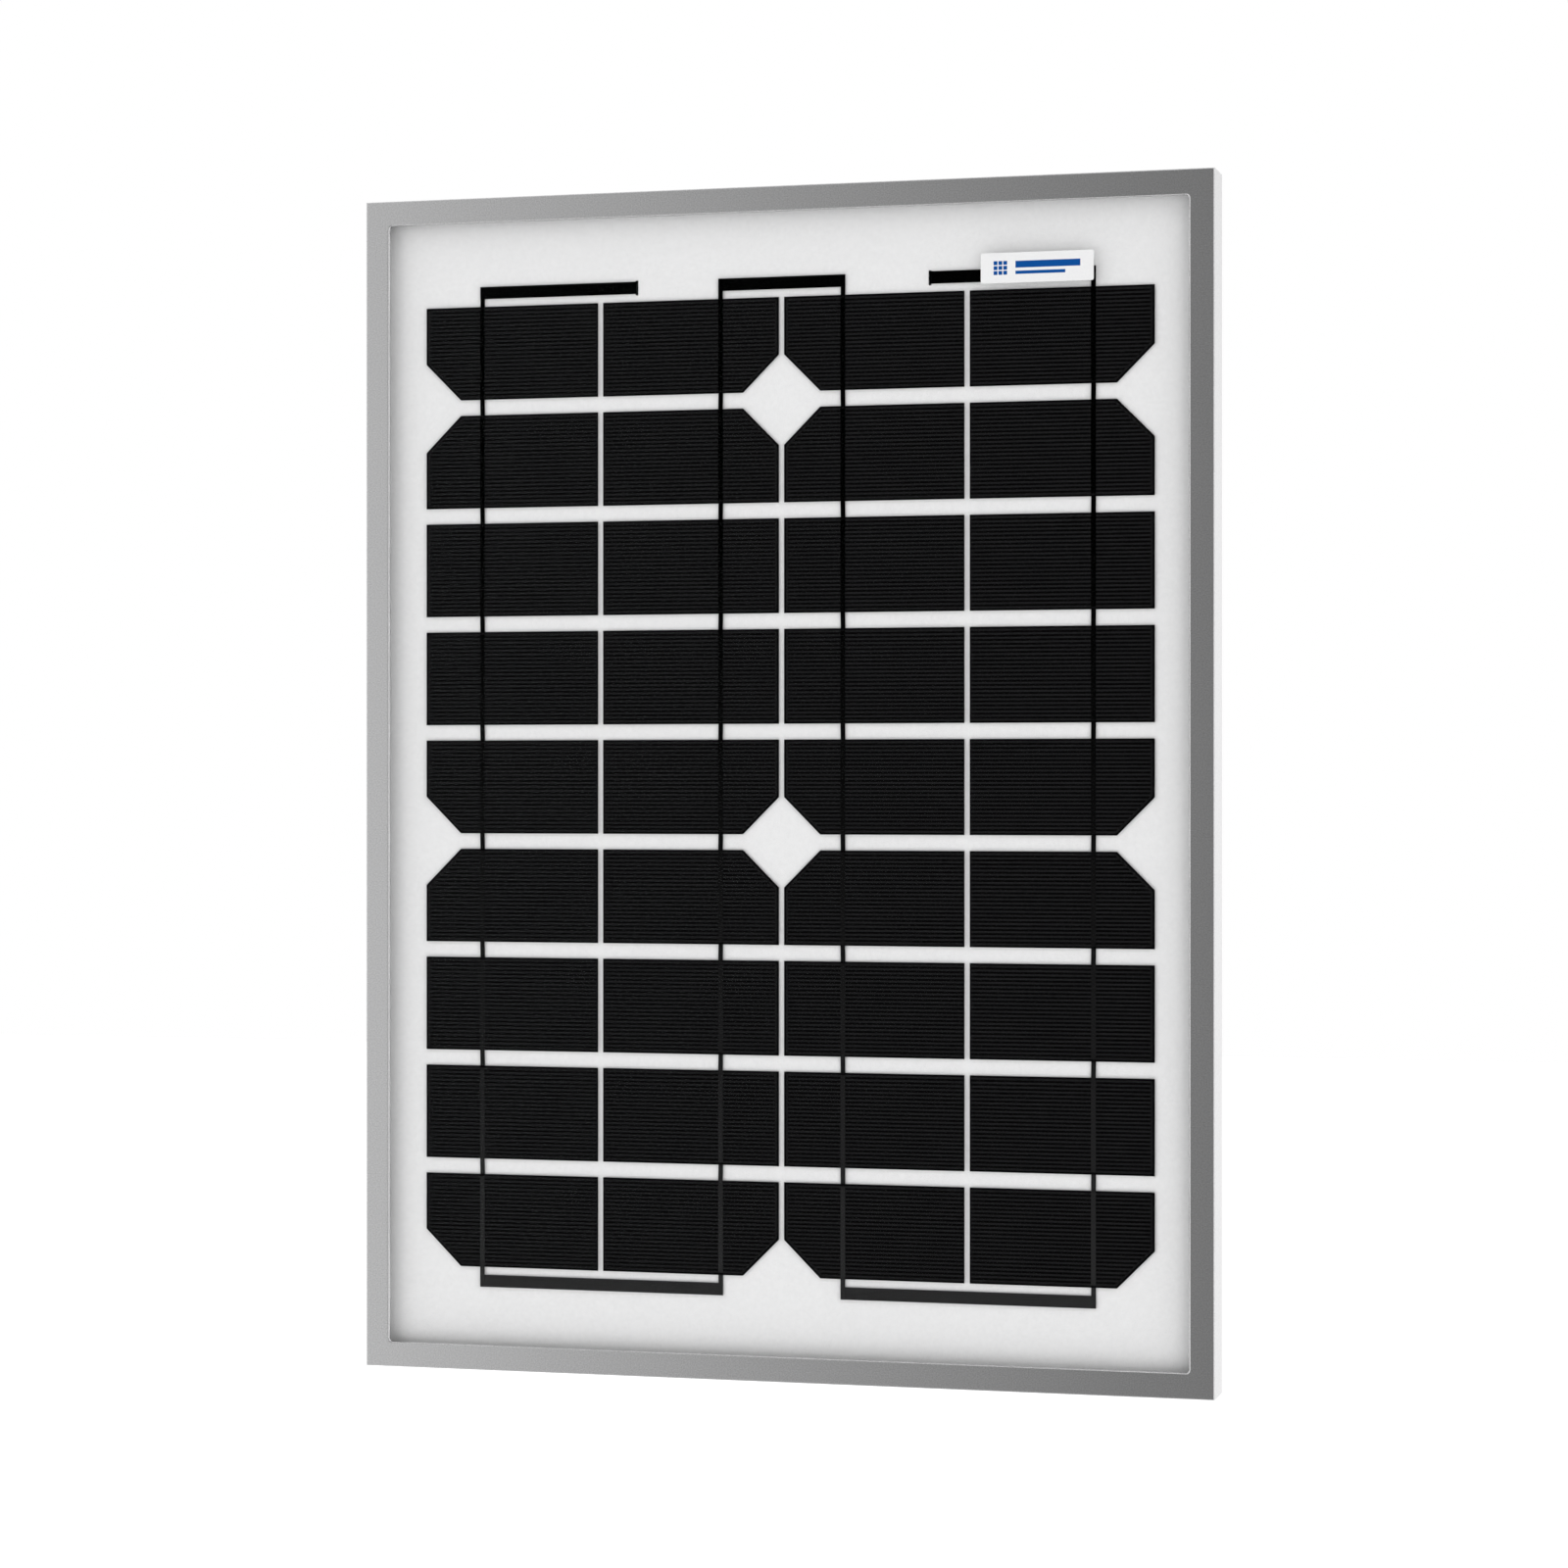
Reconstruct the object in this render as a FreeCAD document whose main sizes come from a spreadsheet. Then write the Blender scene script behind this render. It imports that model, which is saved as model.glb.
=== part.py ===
import FreeCAD, Part
import math
import os
import Sketcher

# Small framed monocrystalline solar panel, 36 cut cells, for fastening by its back flange.
# Frame of the part: X across the panel, +Z up the panel, the glass side faces -Y and the
# back flanges lie in the plane y = 0. The origin is the centre of the mounting-hole pattern.
# Millimetres and degrees throughout.

COLUMNS = 4
ROWS = 9
CORNER_TURNS = {"top_right": 0, "bottom_right": 90, "bottom_left": 180, "top_left": 270}
SIDES = {"left": -1, "right": 1}

DIMENSIONS = [
    # overall
    ("frame_width", 352, "outside width of the frame"),
    ("frame_height", 480, "outside height of the frame"),
    ("frame_depth", 20, "front face to back flange"),
    # frame extrusion
    ("lip_width", 10.2, "front lip, outer face to opening"),
    ("lip_thick", 1.4, "thickness of the front lip"),
    ("outer_wall", 1.5, "outer wall of the extrusion"),
    ("shelf_thick", 1.2, "shelf behind the laminate"),
    ("key_wall", 1.2, "inner wall of the corner-key chamber"),
    ("flange_width", 21.8, "back flange, outer face to free edge"),
    ("flange_thick", 1.4, "thickness of the back flange"),
    ("opening_radius", 1.4, "rounding of the lip opening's corners"),
    ("outer_edge_round", 0.5, "rounding of the frame's outer edges"),
    ("lip_edge_round", 0.7, "rounding of the lip's inner edge"),
    ("hole_spacing_up", 240, "mounting holes, one above the other"),
    ("mounting_hole_radius", 3.25, "mounting holes, for a 6 mm screw"),
    ("grounding_hole_radius", 2.1, "grounding holes, for a 4 mm screw"),
    # corner keys
    ("key_leg", 34, "length of each leg from the frame's corner"),
    ("key_clearance", 0.1, "corner key to chamber wall"),
    ("key_lead", 1.5, "lead-in chamfer at each leg's end"),
    # laminate
    ("edge_gap", 0.9, "laminate edge to outer wall, filled by the seal"),
    ("seal_thick", 0.3, "seal between laminate and lip or shelf"),
    ("seal_set_back", 1.0, "seal's inner edge behind the lip's edge"),
    ("glass_thick", 3.2, "front glass"),
    ("encapsulant_layer", 0.5, "height kept for each clear film"),
    ("film_clearance", 0.05, "film to the layers beside it"),
    ("backsheet_thick", 0.35, "white rear sheet"),
    # cells
    ("cell_width", 74.15, "one cut cell, across"),
    ("cell_height", 38.18, "one cut cell, up"),
    ("cell_thick", 0.2, "silicon"),
    ("column_gap", 2.18, "between columns of cells"),
    ("row_gap", 6.36, "between rows of cells"),
    ("wafer_chamfer", 15, "cut-off corner of the wafer, each leg"),
    ("array_drop", 1.2, "middle of the cells below the middle of the frame"),
    # conductors
    ("ribbon_width", 1.93, "interconnect ribbon"),
    ("ribbon_thick", 0.15, "interconnect ribbon"),
    ("ribbon_inset", 24.37, "wafer's outer side to the ribbon's middle"),
    ("ribbon_end", 1.0, "ribbon's start inside its cell"),
    ("ribbon_bend", 0.6, "straight run past the cell's edge before the bend"),
    ("ribbon_lap", 30, "ribbon's run behind the next cell"),
    ("bus_width", 5.0, "collecting bus bar"),
    ("bus_gap", 3.2, "cells to bus bar"),
    ("bus_free_end", 61, "middle of the panel to the bus bars' free ends"),
    ("slit_width", 1.2, "slit for the lead-out, across"),
    ("slit_clearance", 0.5, "lead-out's edge to the slit's end"),
    ("lead_foot", 7, "lead-out's foot under its bus bar"),
    ("lead_landing", 12, "lead-out's run over its terminal"),
    # labels
    ("front_label_width", 45.3, "label on the glass"),
    ("front_label_height", 12, "label on the glass"),
    ("front_label_thick", 0.12, "label on the glass"),
    ("front_label_side", 48, "frame's right face to the label"),
    ("front_label_top", 30, "frame's top face to the label"),
    ("rating_label_width", 96, "plate label on the backsheet"),
    ("rating_label_height", 62, "plate label on the backsheet"),
    ("rating_label_thick", 0.1, "plate label on the backsheet"),
    ("rating_label_drop", 20, "middle of the frame to the label's top"),
    # junction box
    ("box_past_lead", 5, "lead-out to the box's side face"),
    ("box_height", 54, "junction box, up"),
    ("box_wall", 1.8, "side walls"),
    ("box_floor", 1.5, "floor on the backsheet"),
    ("box_corner", 3, "rounding of the box's corners"),
    ("box_over_bus", 7.13, "box's top face above the bus bar's middle"),
    ("adhesive_thick", 0.6, "bead between backsheet and box"),
    ("adhesive_width", 4, "bead between backsheet and box"),
    ("lid_thick", 1.8, "lid of the box"),
    ("lid_edge_round", 0.7, "rounding of the lid's outer edge"),
    ("lid_border", 6, "raised border round the lid's shallow field"),
    ("lid_field_depth", 0.5, "shallow field in the lid's outer face"),
    ("lid_field_corner", 3, "rounding of the field's corners"),
    ("grip_rib_width", 1.0, "grip ribs above the latch"),
    ("grip_rib_length", 16, "grip ribs above the latch"),
    ("lid_recess", 0.4, "lid's outer face below the back plane"),
    ("lid_gap", 0.5, "box rim to lid"),
    ("lid_seal_width", 1.4, "seal under the lid"),
    ("lid_seal_depth", 1.4, "seal under the lid"),
    ("lid_seal_gap", 0.35, "seal to the inside of the walls"),
    ("latch_width", 18, "latch tongue"),
    ("latch_thick", 1.2, "latch tongue"),
    ("latch_gap", 0.4, "latch tongue to the box wall"),
    ("latch_reach", 5.0, "latch tongue's length below the lid"),
    # lid hinge
    ("knuckle_radius", 2.2, "hinge barrel"),
    ("knuckle_gap", 0.4, "hinge barrel to the box wall, and between knuckles"),
    ("hinge_half", 30, "half the length of the hinge"),
    ("lid_knuckle_half", 17.6, "half the length of the lid's knuckle"),
    ("pin_radius", 0.9, "hinge pin"),
    ("pin_running_gap", 0.05, "pin to the bores, all round"),
    # cable glands
    ("gland_side", 35, "middle of the box to each gland"),
    ("gland_lift", 0.35, "gland nut above the backsheet"),
    ("spout_drop", 0.2, "top of the spout below the box rim"),
    ("spout_wall", 0.8, "spout on the box wall"),
    ("spout_length", 9, "spout on the box wall"),
    ("nut_corner", 6.0, "gland nut, middle to corner"),
    ("nut_length", 10, "gland nut"),
    ("nut_edge_round", 0.8, "rounding of the nut's end"),
    ("nut_stand_off", 1.5, "gland nut to the box wall"),
    ("nut_thread_gap", 0.1, "gland nut's bore to the spout"),
    ("nut_mouth", 2.9, "radius of the nut's end hole"),
    ("nut_end_gap", 0.2, "spout's end to the nut's end wall"),
    ("grommet_bore", 2.5, "radius that the cable fills"),
    ("grommet_length", 8, "rubber grommet in the spout"),
    # terminals
    ("terminal_from_lead", 6, "lead-out's bend to the terminal's outer edge"),
    ("terminal_width", 22, "terminal plate, across"),
    ("terminal_height", 25, "terminal plate, up"),
    ("terminal_thick", 1.0, "terminal plate"),
    ("terminal_over_lead", 0.63, "terminal's upper edge above the lead-out"),
    ("post_height", 1.65, "post under the terminal"),
    ("post_margin", 4, "terminal's edge to the post's side"),
    ("screw_inward", 4, "terminal's middle to its screw, across"),
    ("screw_rise", 4.5, "terminal's lower edge to its screw"),
    ("screw_radius", 1.5, "shank of the terminal screw"),
    ("screw_head_radius", 2.75, "head of the terminal screw"),
    ("screw_head_height", 1.9, "head of the terminal screw"),
    ("screw_reach", 1.8, "shank below the washer"),
    ("screw_slot_width", 0.8, "driver slot"),
    ("screw_slot_depth", 0.8, "driver slot"),
    ("screw_hole_gap", 0.1, "shank to hole"),
    ("washer_side", 8, "square clamping washer"),
    ("washer_thick", 0.8, "square clamping washer"),
    ("diode_radius", 2.6, "body of the bypass diode"),
    ("diode_length", 9.5, "body of the bypass diode"),
    ("diode_lead_radius", 0.6, "leads of the bypass diode"),
    ("diode_rise", 12.5, "terminals' lower edge to the diode"),
    ("diode_round", 0.5, "rounding of the diode's ends"),
    ("solder_foot", 2.2, "solder joint's radius at its foot"),
    ("solder_top", 1.1, "solder joint's radius at its top"),
    ("solder_height", 0.7, "solder joint"),
]

doc = FreeCAD.newDocument("solar_panel")
sheet = doc.addObject("Spreadsheet::Sheet", "Dims")
for row_number, (alias, number, note) in enumerate(DIMENSIONS, start=1):
    sheet.set(f"A{row_number}", note)
    sheet.set(f"B{row_number}", str(number))
    sheet.setAlias(f"B{row_number}", alias)
doc.recompute()

NODES = []


# ---------------------------------------------------------------- expressions

def total(*terms):
    """One expression that adds others."""
    return "(" + " + ".join(terms) + ")"


def number_of(expression):
    """What an expression over the sheet comes to now."""
    return float(sheet.evalExpression(expression))


# Depths: each is the y of one face, from the front of the panel to the back.
LIP_BACK = "(Dims.lip_thick - Dims.frame_depth)"
GLASS_FRONT = total(LIP_BACK, "Dims.seal_thick")
GLASS_BACK = total(GLASS_FRONT, "Dims.glass_thick")
RIBBON_FRONT = total(GLASS_BACK, "Dims.encapsulant_layer")
CELL_FRONT = total(RIBBON_FRONT, "Dims.ribbon_thick")
CELL_BACK = total(CELL_FRONT, "Dims.cell_thick")
RIBBON_BACK = total(CELL_BACK, "Dims.ribbon_thick")
SHEET_FRONT = total(RIBBON_BACK, "Dims.encapsulant_layer")
SHEET_BACK = total(SHEET_FRONT, "Dims.backsheet_thick")
SHELF_FRONT = total(SHEET_BACK, "Dims.seal_thick")
SHELF_BACK = total(SHELF_FRONT, "Dims.shelf_thick")
FLANGE_FRONT = "(-Dims.flange_thick)"

# The junction box hangs between the backsheet and the plane of the back flanges.
BOX_FRONT = total(SHEET_BACK, "Dims.adhesive_thick")
FLOOR_BACK = total(BOX_FRONT, "Dims.box_floor")
LID_BACK = "(-Dims.lid_recess)"
LID_FRONT = "(-Dims.lid_recess - Dims.lid_thick)"
RIM = total(LID_FRONT, "-Dims.lid_gap")
HINGE_Y = "(-Dims.lid_recess - Dims.knuckle_radius)"
GLAND_Y = total(SHEET_BACK, "Dims.gland_lift", "Dims.nut_corner")
SPOUT_RADIUS = f"({RIM} - {GLAND_Y} - Dims.spout_drop)"
SPOUT_BORE = f"({SPOUT_RADIUS} - Dims.spout_wall)"
TERMINAL_FRONT = total(FLOOR_BACK, "Dims.post_height")
TERMINAL_BACK = total(TERMINAL_FRONT, "Dims.terminal_thick")
LANDING_BACK = total(TERMINAL_BACK, "Dims.ribbon_thick")
WASHER_BACK = total(TERMINAL_BACK, "Dims.washer_thick")
DIODE_Y = total(TERMINAL_BACK, "Dims.diode_lead_radius")

# Widths and heights that several pieces share.
LAMINATE_WIDTH = "(Dims.frame_width - 2*Dims.outer_wall - 2*Dims.edge_gap)"
LAMINATE_HEIGHT = "(Dims.frame_height - 2*Dims.outer_wall - 2*Dims.edge_gap)"
COLUMN_PITCH = "(Dims.cell_width + Dims.column_gap)"
ROW_PITCH = "(Dims.cell_height + Dims.row_gap)"
ARRAY_Z = "(-Dims.array_drop)"
ARRAY_HALF = f"({(ROWS - 1) / 2}*{ROW_PITCH} + Dims.cell_height/2)"
BUS_REACH = f"({ARRAY_HALF} + Dims.bus_gap + Dims.bus_width/2)"
TOP_BUS_Z = total(ARRAY_Z, BUS_REACH)
BOX_Z = total(TOP_BUS_Z, "Dims.box_over_bus", "-Dims.box_height/2")
BOX_HALF_WIDTH = "(Dims.bus_free_end + Dims.box_past_lead)"
BOX_HALF_HEIGHT = "(Dims.box_height/2)"
INSIDE_HALF_WIDTH = f"({BOX_HALF_WIDTH} - Dims.box_wall)"
INSIDE_HALF_HEIGHT = "(Dims.box_height/2 - Dims.box_wall)"
HINGE_UP = "(Dims.box_height/2 + Dims.knuckle_gap + Dims.knuckle_radius)"
BUS_IN_BOX = "(Dims.box_height/2 - Dims.box_over_bus)"
TERMINAL_X = "(Dims.bus_free_end - Dims.terminal_from_lead - Dims.terminal_width/2)"
TERMINAL_TOP = f"({BUS_IN_BOX} + Dims.bus_width/2 + Dims.terminal_over_lead)"
TERMINAL_LOW = f"({TERMINAL_TOP} - Dims.terminal_height)"
SCREW_X = f"({TERMINAL_X} - Dims.screw_inward)"
SCREW_Z = f"({TERMINAL_LOW} + Dims.screw_rise)"
HOLE_INSET = "((Dims.lip_width + Dims.flange_width)/2)"


# ---------------------------------------------------------------- drawing and building

def draw_outline(sketch, points):
    """A closed polygon whose corners are pairs of expressions, each one dimensioned."""
    first = sketch.GeometryCount
    places = [FreeCAD.Vector(number_of(across), number_of(up), 0) for across, up in points]
    count = len(places)
    lines = [Part.LineSegment(places[i], places[(i + 1) % count]) for i in range(count)]
    sketch.addGeometry(lines, False)
    joins = [("Coincident", first + i, 2, first + (i + 1) % count, 1) for i in range(count)]
    sketch.addConstraint([Sketcher.Constraint(*join) for join in joins])
    for i, (across, up) in enumerate(points):
        hold_point(sketch, first + i, 1, across, up)


def hold_point(sketch, geometry, end, across, up):
    """Dimension one point of a sketch from its origin."""
    for kind, expression in (("DistanceX", across), ("DistanceY", up)):
        size = number_of(expression)
        index = sketch.addConstraint(Sketcher.Constraint(kind, -1, 1, geometry, end, size))
        sketch.setExpression(f"Constraints[{index}]", expression)


def draw_circle(sketch, across, up, radius):
    """A circle dimensioned by its centre and radius."""
    centre = FreeCAD.Vector(number_of(across), number_of(up), 0)
    normal = FreeCAD.Vector(0, 0, 1)
    index = sketch.addGeometry(Part.Circle(centre, normal, number_of(radius)), False)
    hold_point(sketch, index, 3, across, up)
    size = sketch.addConstraint(Sketcher.Constraint("Radius", index, number_of(radius)))
    sketch.setExpression(f"Constraints[{size}]", radius)


def rectangle(left, right, low, high):
    """Corners of an upright rectangle."""
    return [(left, low), (right, low), (right, high), (left, high)]


def centred(half_width, half_height):
    """Corners of a rectangle about the sketch's origin."""
    return rectangle(f"-{half_width}", half_width, f"-{half_height}", half_height)


def new_body(label):
    """An empty body that will be one node of the assembly."""
    body = doc.addObject("PartDesign::Body", label)
    body.Label = label
    NODES.append(body)
    return body


def keep(label, piece):
    """Name a Part object as one node of the assembly."""
    piece.Label = label
    NODES.append(piece)
    return piece


def new_sketch(body, role, offset):
    """A sketch on one of the body's own origin planes, moved along its normal."""
    sketch = body.newObject("Sketcher::SketchObject", body.Label + "_sketch")
    plane = next(item for item in body.Origin.OriginFeatures if item.Role == role)
    sketch.AttachmentSupport = (plane, [""])
    sketch.MapMode = "FlatFace"
    sketch.setExpression("AttachmentOffset.Base.z", offset)
    return sketch


def add_feature(body, kind, sketch, length, symmetric=False, backwards=False):
    """Pad or Pocket of a sketch; its length is an expression."""
    feature = body.newObject("PartDesign::" + kind, body.Label + "_" + kind.lower())
    feature.Profile = sketch
    feature.SideType = "Symmetric" if symmetric else "One side"
    feature.Reversed = backwards
    feature.setExpression("Length", length)
    body.Tip = feature
    doc.recompute()
    return feature


def slab(body, outlines, front, back, circles=()):
    """Pad of outlines seen from the front, between two depths."""
    sketch = new_sketch(body, "XZ_Plane", f"-{back}")
    for points in outlines:
        draw_outline(sketch, points)
    for across, up, radius in circles:
        draw_circle(sketch, across, up, radius)
    return add_feature(body, "Pad", sketch, f"{back} - {front}")


def sink(body, outlines, front, back, circles=()):
    """Pocket of outlines seen from the front, between two depths."""
    before = body.Shape.Volume
    sketch = new_sketch(body, "XZ_Plane", f"-{front}")
    for points in outlines:
        draw_outline(sketch, points)
    for across, up, radius in circles:
        draw_circle(sketch, across, up, radius)
    pocket = add_feature(body, "Pocket", sketch, f"{back} - {front}")
    check_removed(body, before)
    return pocket


def check_removed(body, before):
    """Stop if a cut took nothing away."""
    if body.Shape.Volume > before - 1e-3:
        raise RuntimeError(body.Label + ": a cut removes nothing")


def bar_along_x(body, points, middle, length, circles=()):
    """Pad of an outline in Y and Z, carried along X about a middle place."""
    sketch = new_sketch(body, "YZ_Plane", middle)
    if points:
        draw_outline(sketch, points)
    for across, up, radius in circles:
        draw_circle(sketch, across, up, radius)
    return add_feature(body, "Pad", sketch, length, symmetric=True)


def pick_edges(body, wanted):
    """Names of the body's edges whose bounding box passes a test."""
    edges = enumerate(body.Shape.Edges, start=1)
    return [f"Edge{index}" for index, edge in edges if wanted(edge.BoundBox)]


def round_edges(body, names, radius):
    """Fillet of named edges of the body's newest feature."""
    if not names:
        raise RuntimeError(body.Label + ": no edges to round")
    rounded = body.Tip
    fillet = body.newObject("PartDesign::Fillet", body.Label + "_fillet")
    fillet.Base = (rounded, names)
    fillet.setExpression("Radius", radius)
    body.Tip = fillet
    doc.recompute()
    return fillet


def same(left, right):
    """Two lengths alike."""
    return abs(left - right) < 1e-4


def place(piece, across="0", depth="0", up="0", turn=0):
    """Put a piece in the panel's frame, turned about the depth axis in degrees."""
    piece.Placement.Rotation = FreeCAD.Rotation(FreeCAD.Vector(0, 1, 0), turn)
    for axis, expression in (("x", across), ("y", depth), ("z", up)):
        piece.setExpression("Placement.Base." + axis, expression)


def flat_box(label, width, height, front, back, across, up):
    """A rectangular sheet centred on a place, between two depths."""
    box = keep(label, doc.addObject("Part::Box", label))
    box.setExpression("Length", width)
    box.setExpression("Width", f"{back} - {front}")
    box.setExpression("Height", height)
    place(box, f"{across} - ({width})/2", front, f"{up} - ({height})/2")
    return box


# ---------------------------------------------------------------- frame

def frame_profile():
    """Outer outline of the extrusion as (depth, height); the outer face is at height 0."""
    lip = "-Dims.lip_width"
    wall = "-Dims.outer_wall"
    front = "-Dims.frame_depth"
    flange = "-Dims.flange_width"
    return [
        (front, "0"),
        (front, lip),
        (LIP_BACK, lip),
        (LIP_BACK, wall),
        (SHELF_FRONT, wall),
        (SHELF_FRONT, lip),
        (FLANGE_FRONT, lip),
        (FLANGE_FRONT, flange),
        ("0", flange),
        ("0", "0"),
    ]


def chamber_profile():
    """Hollow behind the shelf that takes the corner keys."""
    low = "(Dims.key_wall - Dims.lip_width)"
    return rectangle(SHELF_BACK, FLANGE_FRONT, low, "-Dims.outer_wall")


def draw_corner_web(sketch, side, half):
    """The neighbouring bar's lip as far as the rounded corner needs it.

    A quarter circle joins this bar's lip edge to the neighbour's; the mitre later cuts
    the web along the circle's middle.
    """
    tangent_x = f"{side}*({half} - Dims.lip_width - Dims.opening_radius)"
    lip_x = f"{side}*({half} - Dims.lip_width)"
    end_x = f"{side}*{half}"
    lip_z = "-Dims.lip_width"
    round_z = "-(Dims.lip_width + Dims.opening_radius)"
    low_z = "-(Dims.lip_width + 2*Dims.opening_radius)"
    corners = [(tangent_x, lip_z), (end_x, lip_z), (end_x, low_z), (lip_x, low_z),
               (lip_x, round_z)]
    places = [FreeCAD.Vector(number_of(x), number_of(z), 0) for x, z in corners]
    centre = FreeCAD.Vector(places[0].x, places[4].y, 0)
    radius = number_of("Dims.opening_radius")
    circle = Part.Circle(centre, FreeCAD.Vector(0, 0, 1), radius)
    turn_from = 0 if side > 0 else math.pi / 2
    first = sketch.GeometryCount
    sketch.addGeometry([Part.LineSegment(places[i], places[i + 1]) for i in range(4)], False)
    quarter = Part.ArcOfCircle(circle, turn_from, turn_from + math.pi / 2)
    arc = sketch.addGeometry(quarter, False)
    start = 1 if side > 0 else 2
    for i in range(3):
        join = Sketcher.Constraint("Coincident", first + i, 2, first + i + 1, 1)
        sketch.addConstraint(join)
    sketch.addConstraint(Sketcher.Constraint("Coincident", first + 3, 2, arc, start))
    sketch.addConstraint(Sketcher.Constraint("Coincident", arc, 3 - start, first, 1))
    for i in range(4):
        hold_point(sketch, first + i, 1, *corners[i])
    hold_point(sketch, first + 3, 2, *corners[4])
    size = sketch.addConstraint(Sketcher.Constraint("Radius", arc, radius))
    sketch.setExpression(f"Constraints[{size}]", "Dims.opening_radius")


def mitre_outline(side, half):
    """Triangle beyond the 45 degree mitre at one end, with a margin past the bar."""
    margin = 1
    reach = f"(Dims.flange_width + {margin})"
    return [
        (f"{side}*({half} + {margin})", f"{margin}"),
        (f"{side}*({half} + {margin})", f"-{reach}"),
        (f"{side}*({half} - {reach})", f"-{reach}"),
    ]


def make_frame_bar(label, length, turn, across, up, with_holes):
    """One mitred length of extrusion; its own X runs along it, its outer face is at z = 0."""
    body = new_body(label)
    half = f"({length}/2)"
    sketch = new_sketch(body, "YZ_Plane", "0")
    draw_outline(sketch, frame_profile())
    draw_outline(sketch, chamber_profile())
    add_feature(body, "Pad", sketch, length, symmetric=True)

    sketch = new_sketch(body, "XZ_Plane", f"-{LIP_BACK}")
    for side in (-1, 1):
        draw_corner_web(sketch, side, half)
    add_feature(body, "Pad", sketch, "Dims.lip_thick")

    front = -number_of("Dims.frame_depth")
    lip = -number_of("Dims.lip_width")
    stub = number_of(f"{half} - Dims.lip_width")
    names = pick_edges(body, lambda box: same(box.YMin, front) and same(box.YMax, front)
                       and box.ZMax < lip + 1e-3 and box.XMax < stub + 1e-3
                       and box.XMin > -stub - 1e-3)
    round_edges(body, names, "Dims.lip_edge_round")
    names = pick_edges(body, lambda box: same(box.ZMin, 0) and same(box.ZMax, 0)
                       and same(box.YMin, box.YMax))
    round_edges(body, names, "Dims.outer_edge_round")
    past_front = "(-Dims.frame_depth - 1)"
    sink(body, [mitre_outline(side, half) for side in (-1, 1)], past_front, "1")

    if with_holes:
        spot = f"-{HOLE_INSET}"
        rise = "(Dims.hole_spacing_up/2)"
        holes = [
            (f"-{rise}", spot, "Dims.mounting_hole_radius"),
            (rise, spot, "Dims.mounting_hole_radius"),
            ("0", spot, "Dims.grounding_hole_radius"),
        ]
        sink(body, [], total(FLANGE_FRONT, "-1"), "1", circles=holes)
    place(body, across, "0", up, turn)
    return body


def make_corner_key(label, turn, across, up):
    """L-shaped key; its own origin is the frame's outer corner, legs along -X and -Z."""
    body = new_body(label)
    outside = "-(Dims.outer_wall + Dims.key_clearance)"
    inside = "-(Dims.lip_width - Dims.key_wall - Dims.key_clearance)"
    lead_out = f"({outside} - Dims.key_lead)"
    lead_in = f"({inside} + Dims.key_lead)"
    tip = "-Dims.key_leg"
    before_tip = "-(Dims.key_leg - Dims.key_lead)"
    points = [
        (outside, outside),
        (outside, before_tip),
        (lead_out, tip),
        (lead_in, tip),
        (inside, before_tip),
        (inside, inside),
        (before_tip, inside),
        (tip, lead_in),
        (tip, lead_out),
        (before_tip, outside),
    ]
    front = total(SHELF_BACK, "Dims.key_clearance")
    back = total(FLANGE_FRONT, "-Dims.key_clearance")
    slab(body, [points], front, back)
    place(body, across, "0", up, turn)
    return body


HALF_WIDTH = "(Dims.frame_width/2)"
HALF_HEIGHT = "(Dims.frame_height/2)"
make_frame_bar("frame_top", "Dims.frame_width", 0, "0", HALF_HEIGHT, False)
make_frame_bar("frame_bottom", "Dims.frame_width", 180, "0", f"-{HALF_HEIGHT}", False)
make_frame_bar("frame_left", "Dims.frame_height", 270, f"-{HALF_WIDTH}", "0", True)
make_frame_bar("frame_right", "Dims.frame_height", 90, HALF_WIDTH, "0", True)
for corner, turn in CORNER_TURNS.items():
    vertical = HALF_HEIGHT if corner.startswith("top") else f"-{HALF_HEIGHT}"
    sideways = HALF_WIDTH if corner.endswith("right") else f"-{HALF_WIDTH}"
    make_corner_key("corner_key_" + corner, turn, sideways, vertical)


# ---------------------------------------------------------------- laminate

def inset_rectangle(inset):
    """Rectangle inside the frame's outer faces by an inset."""
    return centred(f"(Dims.frame_width/2 - {inset})", f"(Dims.frame_height/2 - {inset})")


def make_edge_seal():
    """U-shaped seal round the laminate's edge: two legs and the web between them."""
    body = new_body("edge_seal")
    outer = inset_rectangle("Dims.outer_wall")
    leg = inset_rectangle("(Dims.lip_width - Dims.seal_set_back)")
    edge = inset_rectangle("(Dims.outer_wall + Dims.edge_gap)")
    slab(body, [outer, leg], LIP_BACK, GLASS_FRONT)
    slab(body, [outer, edge], GLASS_FRONT, SHEET_BACK)
    slab(body, [outer, leg], SHEET_BACK, SHELF_FRONT)


def lead_slits():
    """The two slits that the lead-outs pass through, as outlines seen from the front."""
    reach = "(Dims.bus_width/2 + Dims.slit_clearance)"
    slits = []
    for side in SIDES.values():
        middle = f"{side}*(Dims.bus_free_end + Dims.ribbon_thick/2)"
        slits.append(rectangle(f"({middle} - Dims.slit_width/2)", f"({middle} + Dims.slit_width/2)",
                               f"({TOP_BUS_Z} - {reach})", f"({TOP_BUS_Z} + {reach})"))
    return slits


def make_sheet(label, front, back, with_slits):
    """One full-size sheet of the laminate."""
    body = new_body(label)
    outlines = [centred(f"({LAMINATE_WIDTH}/2)", f"({LAMINATE_HEIGHT}/2)")]
    if with_slits:
        outlines.extend(lead_slits())
    slab(body, outlines, front, back)


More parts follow.
